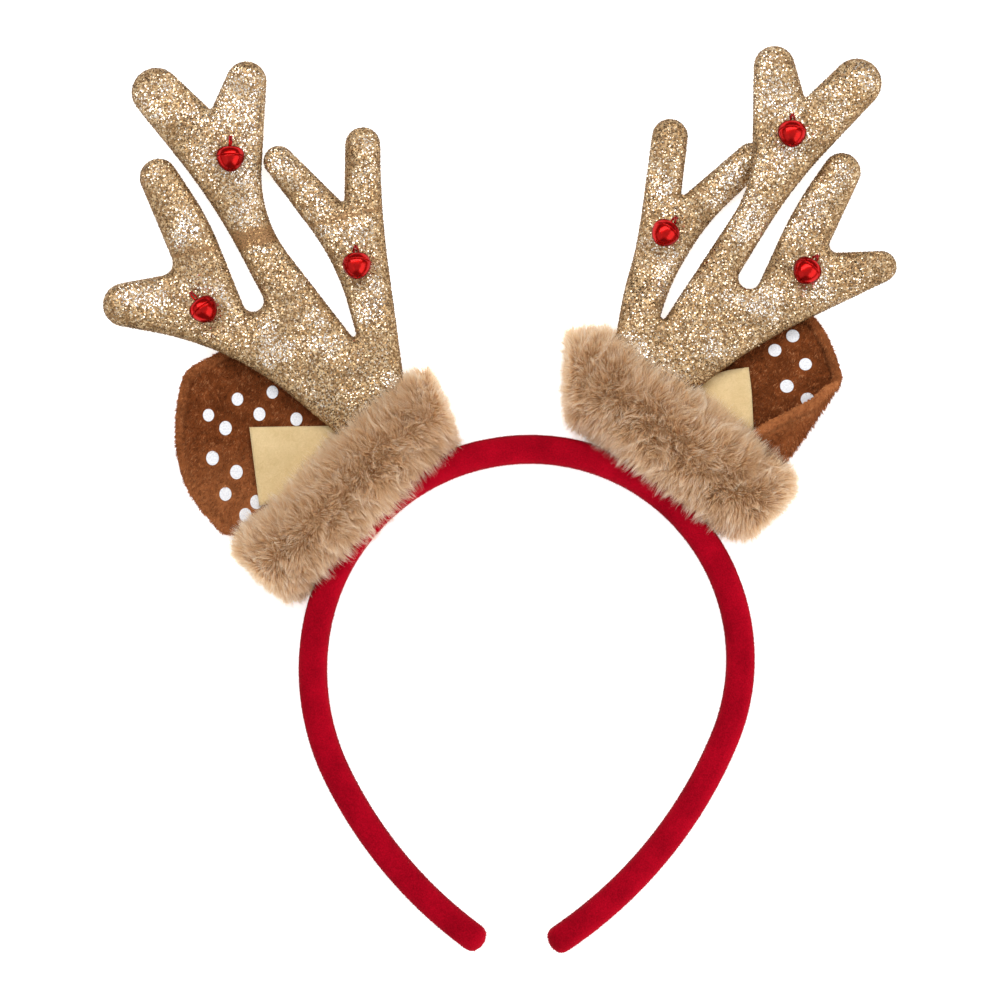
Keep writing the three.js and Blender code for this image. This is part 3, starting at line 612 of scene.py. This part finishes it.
glitter = glitter_recipe()
tuck_cos, tuck_sin = math.cos(TUCK_TURN), math.sin(TUCK_TURN)
tuck_matrix = np.array([[tuck_cos, -tuck_sin], [tuck_sin, tuck_cos]])
crease_way = np.array([-math.sin(CREASE_TURN), math.cos(CREASE_TURN)])
for name, (rows, tucked_rows, band_radius, base_angle, height, sag, seed) in ANTLERS.items():
    reach = band_radius + HALF_BAND + BAND_GAP + FOOT_ROUND
    hub = np.array([BAND_APEX[0], BAND_APEX[1] - band_radius])
    base = hub + reach * np.array([math.cos(base_angle), math.sin(base_angle)])
    cut = [(*base, FOOT_ROUND, False)]
    for index, (x, y, bend) in enumerate(rows):
        tuck = index < tucked_rows
        away = tuck_matrix @ (np.array([x, y]) - TUCK_PIVOT) + TUCK_PIVOT if tuck else (x, y)
        cut.append((*away, bend, tuck))
    outline, tucked = belt(cut)
    bent = np.flatnonzero(tucked & (outline[:, 1] > TUCK_PIVOT[1]))
    branch = outline[bent[0] - 1:bent[-1] + 2] if len(bent) else None

    def lay_antler(points):
        behind = np.zeros(len(points))
        if branch is not None:
            part = np.clip((points[:, 1] - TUCK_PIVOT[1]) / TUCK_REACH, 0, 1)
            held = within(points, branch) | (far_from(points, branch) < 0.02)
            behind = np.where(held, part * part * (3 - 2 * part), 0)
        angle = -TUCK_TURN * behind
        dx, dy = (points - TUCK_PIVOT).T
        x = TUCK_PIVOT[0] + dx * np.cos(angle) - dy * np.sin(angle)
        y = TUCK_PIVOT[1] + dx * np.sin(angle) + dy * np.cos(angle)
        part = np.linalg.norm(points - base, axis=1) / ANTLER_SPAN
        ripple = np.array([noise.noise((p[0] / RIPPLE_SIZE, p[1] / RIPPLE_SIZE, seed)) for p in points])
        z = height - sag * part * part - TUCK_DROP * behind + RIPPLE_RISE * ripple
        return np.column_stack([x, y, z]), np.tile([0.0, 0.0, 1.0], (len(points), 1))

    mesh = stuffed(name + "_cloth", outline, ANTLER_SPACING, ANTLER_FULL, lay_antler)
    plan = np.array([tuple(v.co) for v in mesh.vertices])[:, :2] * 1000 - SHIFT[:2]
    worn = np.zeros(len(plan))
    if name == "antler_left":
        beyond = np.abs(plan[:, 0] - CREASE_PLACE[0]) > CREASE_REACH
        off_crease = np.abs((plan - CREASE_PLACE) @ crease_way) + CREASE_NARROW * beyond
        worn = np.clip((CREASE_HALF - off_crease) / CREASE_FADE, 0, 1)
    mark(mesh, "worn", worn)
    antler = shown(name + "_cloth", mesh, cloth)
    antler_glitter = made_by(glitter, name + "_glitter", mesh.copy(), Density=3.9e6, Size=0.00054,
                             Seed=seed, Finish=flakes)
    for piece in (antler, antler_glitter):
        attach(piece, "root")
    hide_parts(name)


# Ears. Leaves of short brown plush, two layers sewn together and turned so that the seam makes a ridge round
# the rim, with white flock dots on the front. The right ear is rolled forward along its lower margin.
# Both are caught in the fur at the foot.
EAR_MIDDLE, EAR_ROLL, EAR_SPACING, DOT_HEIGHT = 2.7, 2.7, 1.1, 4.3
EAR_FULL = {  # distance in from the edge, half thickness
    "ear_left": ((0, 0.6), (0.7, 1.15), (1.9, 1.3), (3.0, 1.0), (4.1, 1.3), (9, 1.45)),
    "ear_right": ((0, 0.6), (0.7, 1.15), (1.9, 1.35), (3.0, 0.65), (4.1, 1.2), (9, 1.45)),
}
EARS = {  # start, way along, way across, then rows of distance along, near margin and far margin
    "ear_left": ((-97.5, 45.9), (0, -1), (1, 0), (
        (0, 17.1, 26.1), (2.4, 11.4, 34.5), (6.9, 3.6, 41.1), (12.9, 1.2, 46.5), (21.9, 0, 50.7),
        (30.9, 0.2, 52), (39.9, 2.3, 51), (47.4, 6.5, 46), (53.4, 11.7, 38), (56.4, 16, 30))),
    "ear_right": ((100.3, 38.5), (-0.584, -0.812), (-0.812, 0.584), (
        (-9.9, 14.2, 17.2), (-8.4, 9.4, 20.2), (-5.1, 3.4, 23.8), (-1.8, -1.1, 25.9), (1.2, -4.6, 27.4),
        (4.9, -8, 28.8), (11, -9.4, 29.5), (16.9, -12.4, 29.5), (23.3, -15.6, 29.2), (28.1, -17.6, 28.3),
        (36, -18.6, 25.9), (42, -17, 22.4))),
}
EAR_LOOKS = {  # depth of the sewn line's tone, radius of a dot, its height over its width, seed of the nap
    "ear_left": (0.4, 1.8, 1.14, 10),
    "ear_right": (1.0, 2.05, 0.96, 12),
}
DOTS = {
    "ear_left": ((-78.9, 30.3), (-68.4, 32.4), (-87.6, 25.5), (-72.3, 25.8), (-61.2, 24.3), (-82.5, 21.6),
                 (-86.4, 12.6), (-79.2, 8.4), (-82.5, 1.8), (-73.2, -0.6), (-76.5, -4.5)),
    "ear_right": ((88.0, 49.3), (82.6, 45.0), (91.8, 40.8), (86.2, 34.2), (92.4, 30.3)),
}


# A smooth curve through rows of numbers
def flowing(rows, steps, closed):
    rows = np.asarray(rows, float)
    count = len(rows)
    out = []
    for k in range(count if closed else count - 1):
        around = [k + shift for shift in (-1, 0, 1, 2)]
        a, b, c, d = (rows[i % count if closed else min(max(i, 0), count - 1)] for i in around)
        for t in np.arange(steps) / steps:
            bow = (2 * a - 5 * b + 4 * c - d) * t * t
            out.append(0.5 * (2 * b + (c - a) * t + bow + (3 * b - a - 3 * c + d) * t ** 3))
    return np.array(out if closed else [*out, rows[-1]])


def dots_recipe():
    tree, given = new_recipe("flock_dots", {"Radius": 0.002, "Tall": 1.0, "Depth": 0.0006, "Seed": 1})
    spots = put(tree, "GeometryNodeMeshToPoints", {"Mesh": given["Geometry"]})
    dome = put(tree, "GeometryNodeMeshCylinder", {
        "Vertices": 28, "Side Segments": 1, "Fill Segments": 2, "Radius": 1.0, "Depth": 1.0,
    })
    wide = times(tree, given["Radius"], chance_node(tree, given["Seed"], 0.92, 1.06))
    high = times(tree, wide, given["Tall"])
    size = put(tree, "ShaderNodeCombineXYZ", {0: wide, 1: high, 2: given["Depth"]})
    sown = put(tree, "GeometryNodeInstanceOnPoints", {
        "Points": spots.outputs[0], "Instance": dome.outputs[0], "Scale": size.outputs[0],
    })
    close_recipe(tree, sown.outputs[0], given["Finish"])
    return tree


plush, plush_tree, plush_shader = new_finish(
    "brown_plush", Roughness=0.85, Sheen_Weight=0.15, Sheen_Tint=dye(214, 140, 84), Specular_IOR_Level=0.06)
plush_tone = weighed(plush_tree, grain(plush_tree, 160.0, 3.0), 0.35, painted(plush_tree, "tint"), 0.65)
plush_brown = ramp(plush_tree, plush_tone,
                   (0.15, dye(82, 38, 14)), (0.5, dye(147, 80, 40)), (0.85, dye(206, 142, 96)))
seam_plain, seam_dark = (1, 1, 1, 1), (0.62, 0.6, 0.6, 1)
plush_seam = ramp(plush_tree, times(plush_tree, painted(plush_tree, "edge"), 0.1),
                  (0.23, seam_plain), (0.28, seam_dark), (0.32, seam_dark), (0.37, seam_plain))
plush_sewn = mixed(plush_tree, painted(plush_tree, "sewn"), plush_brown, plush_seam, "MULTIPLY")
# Painted sheen: the plush is mixed towards a lighter brown by the marked amount
plush_sheen_share = times(plush_tree, painted(plush_tree, "painted_sheen"), 0.34)
plush_with_sheen = mixed(plush_tree, plush_sheen_share, plush_sewn, dye(208, 136, 84))
plush_tree.links.new(plush_with_sheen, plush_shader.inputs["Base Color"])
flock, flock_tree, flock_shader = new_finish("white_flock", Roughness=0.85)
flock_white = ramp(flock_tree, grain(flock_tree, 2200.0),
                   (0.3, dye(214, 216, 222)), (0.7, dye(246, 247, 250)))
flock_tree.links.new(flock_white, flock_shader.inputs["Base Color"])
dots = dots_recipe()

for name, (origin, way, across, rows) in EARS.items():
    sewn, spot, tall, seed = EAR_LOOKS[name]
    table_rows = np.array(rows, float)
    near, far = table_rows[:, [0, 1]], table_rows[:, [0, 2]][::-1]
    margin = flowing(np.vstack([near, far]), 7, True)

    def lay_ear(points):
        over, turned = points[:, 1].copy(), -points[:, 1] / EAR_ROLL
        rise, lean, face = np.zeros_like(over), np.zeros_like(over), np.ones_like(over)
        rolled, laid = (turned > 0) & (turned <= math.pi), turned > math.pi
        over[rolled] = -EAR_ROLL * np.sin(turned[rolled])
        rise[rolled] = EAR_ROLL * (1 - np.cos(turned[rolled]))
        lean[rolled], face[rolled] = np.sin(turned[rolled]), np.cos(turned[rolled])
        over[laid], rise[laid], face[laid] = -points[laid, 1] - math.pi * EAR_ROLL, 2 * EAR_ROLL, -1
        plan = np.array(origin) + points[:, :1] * np.array(way) + over[:, None] * np.array(across)
        facing = np.column_stack([lean[:, None] * np.array(across), face])
        return np.column_stack([plan, EAR_MIDDLE + rise]), facing

    skin = stuffed(name + "_skin", margin, EAR_SPACING, EAR_FULL[name], lay_ear)
    places = np.array([tuple(v.co) for v in skin.vertices]) * 1000 - SHIFT
    inset = np.array([item.value for item in skin.attributes["edge"].data])
    # Painted sheen: lighter on the right ear's rolled flap, most near its free edge, on the lower part of the
    # left ear, and round the rim of both
    folded = np.clip((places[:, 2] - EAR_MIDDLE - 2) / 2, 0, 1) * np.clip(1.3 - inset / 5, 0.2, 1)
    sheen_patch = 1.4 * folded if name == "ear_right" else np.clip((18 - places[:, 1]) / 18, 0, 1)
    nearest = np.min([np.hypot(places[:, 0] - x, places[:, 1] - y) for x, y in DOTS[name]], axis=0)
    front = (places[:, 2] > EAR_MIDDLE) & (places[:, 2] < EAR_MIDDLE + 2)
    mark(skin, "tint", np.full(len(inset), 0.2))
    mark(skin, "painted_sheen", np.maximum(sheen_patch, np.clip(3 - inset, 0, 0.5)))
    mark(skin, "sewn", np.full(len(inset), sewn))
    mark(skin, "trim", 0.5 * np.clip(1.6 - inset, 0, 1))
    mark(skin, "bare", np.clip((spot + 1.3 - nearest) / 0.9, 0, 1) * front)
    ear = shown(name + "_skin", skin, plush)
    ear_nap = made_by(pile, name + "_nap", skin.copy(), Density=9.0e6, Length=0.0013, Width=0.00022,
                      Lean=(-0.3, -0.6, 0.0), Swirl=1.3, Swirl_Size=0.004, Clump=0.5, Clump_Size=0.0014,
                      Uneven=0.4, Segments=1, Seed=seed, Finish=plush)
    spots = new_mesh(name + "_spots", [(x, y, DOT_HEIGHT) for x, y in DOTS[name]])
    ear_dots = made_by(dots, name + "_dots", spots, Radius=spot / 1000, Tall=tall, Depth=0.0005, Finish=flock)
    for piece in (ear, ear_nap, ear_dots):
        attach(piece, "root")
    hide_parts(name)


# Felt linings. Flat pieces cut from cream felt, laid on the front of the ears
# and caught in the fur at the foot.
FELT_THICK, FELT_BOTTOM, FELT_SPACING = 1.2, 4.65, 1.2
FELT_FULL = ((0, 0.5), (0.5, 0.6), (9, 0.6))
EDGE_STEPS = 8
FELTS = {
    "ear_felt_left": ((-75.3, 21.9), (-48.8, 22.3), (-49.4, 16.0), (-54.5, 7.0), (-64.5, 0), (-72.3, -1.8)),
    "ear_felt_right": ((74.7, 39.9), (75.6, 32.4), (76.2, 20.7), (70.5, 15.0), (59.8, 22.0), (59.2, 33.6),
                       (62.6, 37.3), (68.5, 39.0)),
}
felt, felt_tree, felt_shader = new_finish(
    "cream_felt", Roughness=0.95, Sheen_Weight=0.2, Specular_IOR_Level=0.1)
felt_fibre = grain(felt_tree, 1100.0, 4.0, 1.5)
felt_tone = weighed(felt_tree, felt_fibre, 0.5, grain(felt_tree, 120.0), 0.5)
felt_cream = ramp(felt_tree, felt_tone, (0.3, dye(202, 174, 124)), (0.7, dye(229, 203, 155)))
felt_tree.links.new(felt_cream, felt_shader.inputs["Base Color"])
roughened(felt_tree, felt_shader, felt_fibre, 0.7, 0.0003)


def lay_felt(points):
    lift = np.array([0.12 * noise.noise((p[0] / 6, p[1] / 6, 3)) for p in points])
    places = np.column_stack([points, FELT_BOTTOM + FELT_THICK / 2 + lift])
    return places, np.tile([0.0, 0.0, 1.0], (len(points), 1))


for name, corners in FELTS.items():
    corners = np.array(corners, float)
    sides = list(zip(corners, np.roll(corners, -1, axis=0)))
    edge_points = np.array([a + (b - a) * t for a, b in sides for t in np.arange(EDGE_STEPS) / EDGE_STEPS])
    cut = stuffed(name + "_cut", edge_points, FELT_SPACING, FELT_FULL, lay_felt)
    piece = shown(name + "_cut", cut, felt)
    x, y = corners.T
    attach(piece, "root")
    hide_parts(name)


# Fur cuffs. Strips of long tan pile rolled round the feet of the antlers and sewn to the band:
# a stuffed roll, then a dense undercoat, then longer and paler hairs that gather into locks.
FUR_SINK, FUR_UNDERCUT, FUR_LEAST, FUR_FLOOR, FUR_SIDES = 2.6, math.radians(30), 3, 0.15, 25
END_NARROW, END_ROUND, END_FACING, END_TRIM = 0.64, 8, 0.97, 0.15
UNDER_FACING, UNDER_BARE = -0.6, 0.7
FURS = {  # x, y, half width, height
    "fur_cuff_left": (
        (-78.1, -27.0, 14.8, 17), (-73.8, -22.5, 14.8, 17.5), (-68.6, -18.4, 14, 19.5),
        (-59.6, -11.7, 13.2, 21.5), (-50.3, -2.2, 13.5, 22.5), (-41.2, 7.5, 13.6, 22.5),
        (-32.2, 16.9, 13.6, 22), (-24.7, 23.7, 13.7, 20.5), (-18.8, 29.4, 14.3, 19), (-14.6, 33.2, 14.4, 18)),
    "fur_cuff_right": (
        (15.5, 42.8, 15.3, 18), (21.0, 40.2, 15.3, 19), (27.0, 37.2, 15.2, 20.5), (35.1, 31.2, 14.6, 22.5),
        (43.2, 25.4, 14.9, 23.5), (51.9, 18.7, 15.1, 23.5), (60.9, 12.0, 15.0, 22.5), (70.3, 4.7, 14.7, 20.5),
        (80.5, -0.7, 13.4, 18), (86.5, -5.1, 13, 17)),
}
FUR_CUTS = {  # place and facing of each cut end
    "fur_cuff_left": (((-71.0, -21.4), (-0.66, -0.76)), ((-19.2, 28.8), (0.94, 0.34))),
    "fur_cuff_right": (((22.2, 37.0), (-1.0, 0.0)), ((80.2, -2.8), (0.7, -0.72))),
}


def fur_roll(name, rows, cuts):
    spine = flowing(rows, 4, False)
    ahead = np.gradient(spine[:, :2], axis=0)
    side = np.column_stack([ahead[:, 1], -ahead[:, 0]]) / np.linalg.norm(ahead, axis=1)[:, None]
    inside = np.min([(np.array(place) - spine[:, :2]) @ np.array(way) for place, way in cuts], axis=0)
    rounding = np.sqrt(1 - (1 - np.clip(inside / END_ROUND, 0, 1)) ** 2)
    half = (spine[:, 2] - FUR_SINK) * (END_NARROW + (1 - END_NARROW) * rounding)
    rise = np.maximum(spine[:, 3] - FUR_SINK, FUR_LEAST) / 1.5
    angles = np.linspace(-FUR_UNDERCUT, math.pi + FUR_UNDERCUT, FUR_SIDES)
    count, size = len(spine), len(angles)
    points = []
    for k in range(count):
        for a in angles:
            x, y = spine[k, :2] + side[k] * half[k] * math.cos(a)
            points.append((x, y, max(rise[k] * (0.5 + math.sin(a)), FUR_FLOOR)))
    faces = [(k * size + j, k * size + (j + 1) % size, (k + 1) * size + (j + 1) % size, (k + 1) * size + j)
             for k in range(count - 1) for j in range(size)]
    faces += [tuple(range(size))[::-1], tuple(range((count - 1) * size, count * size))]
    mesh = new_mesh(name, points, faces)
    form = bmesh.new()
    form.from_mesh(mesh)
    for place, way in cuts:
        cut = bmesh.ops.bisect_plane(
            form, geom=[*form.verts, *form.edges, *form.faces], dist=1e-6, clear_outer=True,
            plane_co=Vector(metres([place])[0]), plane_no=(*way, 0))["geom_cut"]
        bmesh.ops.holes_fill(form, edges=[part for part in cut if isinstance(part, bmesh.types.BMEdge)])
    bmesh.ops.recalc_face_normals(form, faces=form.faces)
    form.faces.ensure_lookup_table()
    normals = np.array([tuple(face.normal) for face in form.faces])
    square = np.max([np.abs(normals[:, :2] @ np.array(way)) for _, way in cuts], axis=0)
    many = np.array([len(face.verts) > 4 for face in form.faces])
    form.to_mesh(mesh)
    form.free()
    mark(mesh, "bare", UNDER_BARE * (normals[:, 2] < UNDER_FACING), "FACE")
    mark(mesh, "trim", END_TRIM * ((square > END_FACING) & many), "FACE")
    return mesh


def fur_finish(name, root, middle, tip):
    finish, tree, shader = new_finish(name, Roughness=0.75, Specular_IOR_Level=0.08)
    along = painted(tree, "along")
    tone = weighed(tree, along, 0.8, minus(tree, painted(tree, "tint"), 0.5), 0.5)
    colour = ramp(tree, tone, (0.0, root), (0.45, middle), (0.95, tip))
    tree.links.new(colour, shader.inputs["Base Color"])
    through = put(tree, "ShaderNodeBsdfTranslucent", {"Color": colour})
    share = math_node(tree, "MINIMUM", times(tree, along, 3.0), 0.55)
    lit = put(tree, "ShaderNodeMixShader", {0: share, 1: shader.outputs[0], 2: through.outputs[0]})
    tree.links.new(lit.outputs[0], tree.nodes["Material Output"].inputs["Surface"])
    return finish


undercoat = fur_finish("fur_undercoat", dye(222, 188, 146), dye(242, 216, 178), dye(250, 234, 208))
overcoat = fur_finish("fur_overcoat", dye(230, 198, 158), dye(249, 231, 202), dye(255, 250, 242))
for number, (name, rows) in enumerate(FURS.items()):
    roll = fur_roll(name + "_roll", rows, FUR_CUTS[name])
    mark(roll, "along", np.full(len(roll.vertices), 0.1))
    mark(roll, "tint", [0.5 + noise.noise(vertex.co * 400) for vertex in roll.vertices])
    fur = shown(name + "_roll", roll, undercoat)
    fur_under = made_by(pile, name + "_undercoat", roll.copy(), Density=8.4e6, Length=0.005, Width=0.00018,
                        Swirl=2.0, Swirl_Size=0.0042, Clump=0.35, Clump_Size=0.0022, Uneven=0.35, Segments=2,
                        Seed=51 + number, Finish=undercoat)
    fur_over = made_by(pile, name + "_overcoat", roll.copy(), Density=1.0e7, Length=0.0066, Width=0.00013,
                       Swirl=2.6, Swirl_Size=0.0058, Clump=0.4, Clump_Size=0.0026, Uneven=0.5, Segments=2,
                       Seed=71 + number, Finish=overcoat)
    for piece in (fur, fur_under, fur_over):
        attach(piece, "root")
    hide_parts(name)


# Bells. Small pressed bells in red lacquer: two thin domes with a rolled seam, a crossed slot below
# and a wire loop above, each held to its branch by a stitch of red thread through the loop.
BELL_WALL, BELL_LIFT, BELL_TURNS = 0.4, 4.15, 40
BELL_CAP = (  # radius, height
    (4.02, 0.05), (4.26, 0.22), (4.28, 0.55), (4.2, 1.2), (4.0, 1.85), (3.5, 2.5), (2.5, 3.0), (1.4, 3.3),
    (0.7, 3.5), (0, 3.7),
)
BELL_BOWL = (
    (0, -4.3), (0.9, -4.2), (1.8, -3.82), (2.7, -3.1), (3.4, -2.2), (3.88, -1.3), (4.14, -0.6), (4.2, -0.22),
    (4.02, -0.05),
)
SIDE_HIGH, SEAM_HIGH, INNER_WIDE, INNER_HIGH = 2.4, 0.5, 0.82, 0.88
SLOT_SIZE, SLOT_HEIGHT = (2.4, 0.3, 3.0), -4.0
LOOP_HIGH, LOOP_WIDE, LOOP_WIRE, LOOP_STEPS, WIRE_SIDES = 1.45, 0.75, 0.28, 24, 8
STITCH_OUT, STITCH_OVER, STITCH_DEEP, STITCH_APART = (0.2, 0.25, 0.9, 1.35, 1.6), (0.35, 0.7, 0.2), 0.7, 0.3
BELLS = {  # x, y, heading of the loop, tilt, spin
    "bell_left_main": (-80.7, 102.5, 90, -12, 70), "bell_left_inner": (-42.8, 70.2, 94, -28, 20),
    "bell_left_outer": (-88.6, 57.1, 128, -12, 50), "bell_right_main": (87.3, 109.6, 87, -28, 25),
    "bell_right_inner": (49.5, 80.0, 55, -28, 40), "bell_right_outer": (91.7, 68.5, 54, -28, 10),
}


def bell_domes():
    outer = [*BELL_BOWL, *BELL_CAP]
    inner = [(max(r - BELL_WALL, 0) if abs(z) < SIDE_HIGH else r * INNER_WIDE, z * INNER_HIGH)
             for r, z in outer if not 0 <= z < SEAM_HIGH]
    form = bmesh.new()
    for profile in (outer, inner):
        line = [form.verts.new((r, 0, z)) for r, z in flowing(profile, 3, False)]
        edges = [form.edges.new((a, b)) for a, b in zip(line, line[1:])]
        bmesh.ops.spin(form, geom=[*line, *edges], cent=(0, 0, 0), axis=(0, 0, 1), angle=2 * math.pi,
                       steps=BELL_TURNS, use_merge=True)
    bmesh.ops.remove_doubles(form, verts=form.verts, dist=1e-4)
    bmesh.ops.recalc_face_normals(form, faces=form.faces)
    mesh = bpy.data.meshes.new("bell_domes")
    form.to_mesh(mesh)
    form.free()
    return mesh


def bell_slots():
    form = bmesh.new()
    for turn in (0, math.pi / 2):
        block = bmesh.ops.create_cube(form, size=1)["verts"]
        bmesh.ops.scale(form, vec=SLOT_SIZE, verts=block)
        bmesh.ops.rotate(form, cent=(0, 0, 0), matrix=Matrix.Rotation(turn, 3, "Z"), verts=block)
        bmesh.ops.translate(form, vec=(0, 0, SLOT_HEIGHT), verts=block)
    mesh = bpy.data.meshes.new("bell_slots")
    form.to_mesh(mesh)
    form.free()
    return mesh


def bell_form():
    domes, cutter = shown("bell_domes", bell_domes()), shown("bell_slots", bell_slots())
    cutting = domes.modifiers.new("slots", "BOOLEAN")
    cutting.operation, cutting.solver, cutting.object = "DIFFERENCE", "EXACT", cutter
    cutting.use_self = True
    graph = bpy.context.evaluated_depsgraph_get()
    cut = bpy.data.meshes.new_from_object(domes.evaluated_get(graph))
    bpy.data.objects.remove(domes)
    bpy.data.objects.remove(cutter)
    form = bmesh.new()
    form.from_mesh(cut)
    middle = BELL_CAP[-1][1] + LOOP_HIGH - LOOP_WIRE
    ring = []
    for a in np.linspace(0, 2 * math.pi, LOOP_STEPS, endpoint=False):
        out = np.array([math.cos(a) * LOOP_HIGH, math.sin(a) * LOOP_WIDE])
        out /= np.linalg.norm(out)
        turn = []
        for b in np.linspace(0, 2 * math.pi, WIRE_SIDES, endpoint=False):
            x = LOOP_WIDE * math.cos(a) + LOOP_WIRE * math.cos(b) * out[0]
            z = middle + LOOP_HIGH * math.sin(a) + LOOP_WIRE * math.cos(b) * out[1]
            turn.append(form.verts.new((x, LOOP_WIRE * math.sin(b), z)))
        ring.append(turn)
    wire = []
    for here, after in zip(ring, ring[1:] + ring[:1]):
        for j in range(WIRE_SIDES):
            k = (j + 1) % WIRE_SIDES
            wire.append(form.faces.new((here[j], after[j], after[k], here[k])))
    bmesh.ops.recalc_face_normals(form, faces=wire)
    form.to_mesh(cut)
    form.free()
    cut.shade_smooth()
    return cut


lacquer, lacquer_tree, lacquer_shader = new_finish(
    "red_lacquer", Metallic=1.0, Roughness=0.28, Coat_Weight=0.25, Coat_Roughness=0.12,
    Specular_Tint=(0.2, 0.02, 0.02, 1))
lacquer_red = ramp(lacquer_tree, grain(lacquer_tree, 700.0, 3.0),
                   (0.3, dye(172, 4, 2)), (0.7, dye(194, 8, 4)))
lacquer_tree.links.new(lacquer_red, lacquer_shader.inputs["Base Color"])
thread, thread_tree, thread_shader = new_finish("red_thread", Roughness=0.7)
thread_twist = put(thread_tree, "ShaderNodeTexWave", {
    "Vector": on_object(thread_tree), "Scale": 1600.0, "Distortion": 2.0,
})
thread_red = ramp(thread_tree, thread_twist.outputs[0], (0.2, dye(120, 8, 12)), (0.8, dye(186, 24, 24)))
thread_tree.links.new(thread_red, thread_shader.inputs["Base Color"])

bell_shape = bell_form()
bell_faces = [tuple(face.vertices) for face in bell_shape.polygons]
stitches, stitch_edges = [], []
for name, (x, y, heading, tilt, spin) in BELLS.items():
    way, rise = math.radians(heading), math.radians(tilt)
    up = Vector((math.cos(way) * math.cos(rise), math.sin(way) * math.cos(rise), math.sin(rise)))
    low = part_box(name)[0].z * 1000
    centre = Vector((x, y, low + BELL_LIFT))
    front = (Vector((0, 0, 1)) - up * up.z).normalized()
    turned = Matrix((front.cross(up), front, up)).transposed() @ Matrix.Rotation(math.radians(spin), 3, "Z")
    points = [tuple(turned @ v.co + centre) for v in bell_shape.vertices]
    bell = shown(name + "_pressed", new_mesh(name + "_pressed", points, bell_faces), lacquer)
    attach(bell, "root")
    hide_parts(name)
    loop = centre + up * (BELL_CAP[-1][1] + LOOP_HIGH)
    out = Vector((math.cos(way), math.sin(way), 0))
    heights = [low - STITCH_DEEP, *(loop.z + over for over in STITCH_OVER), low - STITCH_DEEP]
    for shift in (-STITCH_APART, STITCH_APART):
        side = Vector((-math.sin(way), math.cos(way), 0)) * shift
        ends = [loop + out * reach + side for reach in STITCH_OUT]
        start = len(stitches)
        path = flowing([(*p.xy, z) for p, z in zip(ends, heights)], 5, False)
        stitches.extend(path)
        stitch_edges.extend((start + k, start + k + 1) for k in range(len(path) - 1))
stitch_mesh = new_mesh("bell_stitches", stitches, edges=stitch_edges)
threads = made_by(swept, "bell_threads", stitch_mesh, Thickness=0.00042, Depth=0.00042, Corner=0.0002,
                  Tip=0.0002, Step=0.0005, Corner_Steps=2, Finish=thread)
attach(threads, "root")
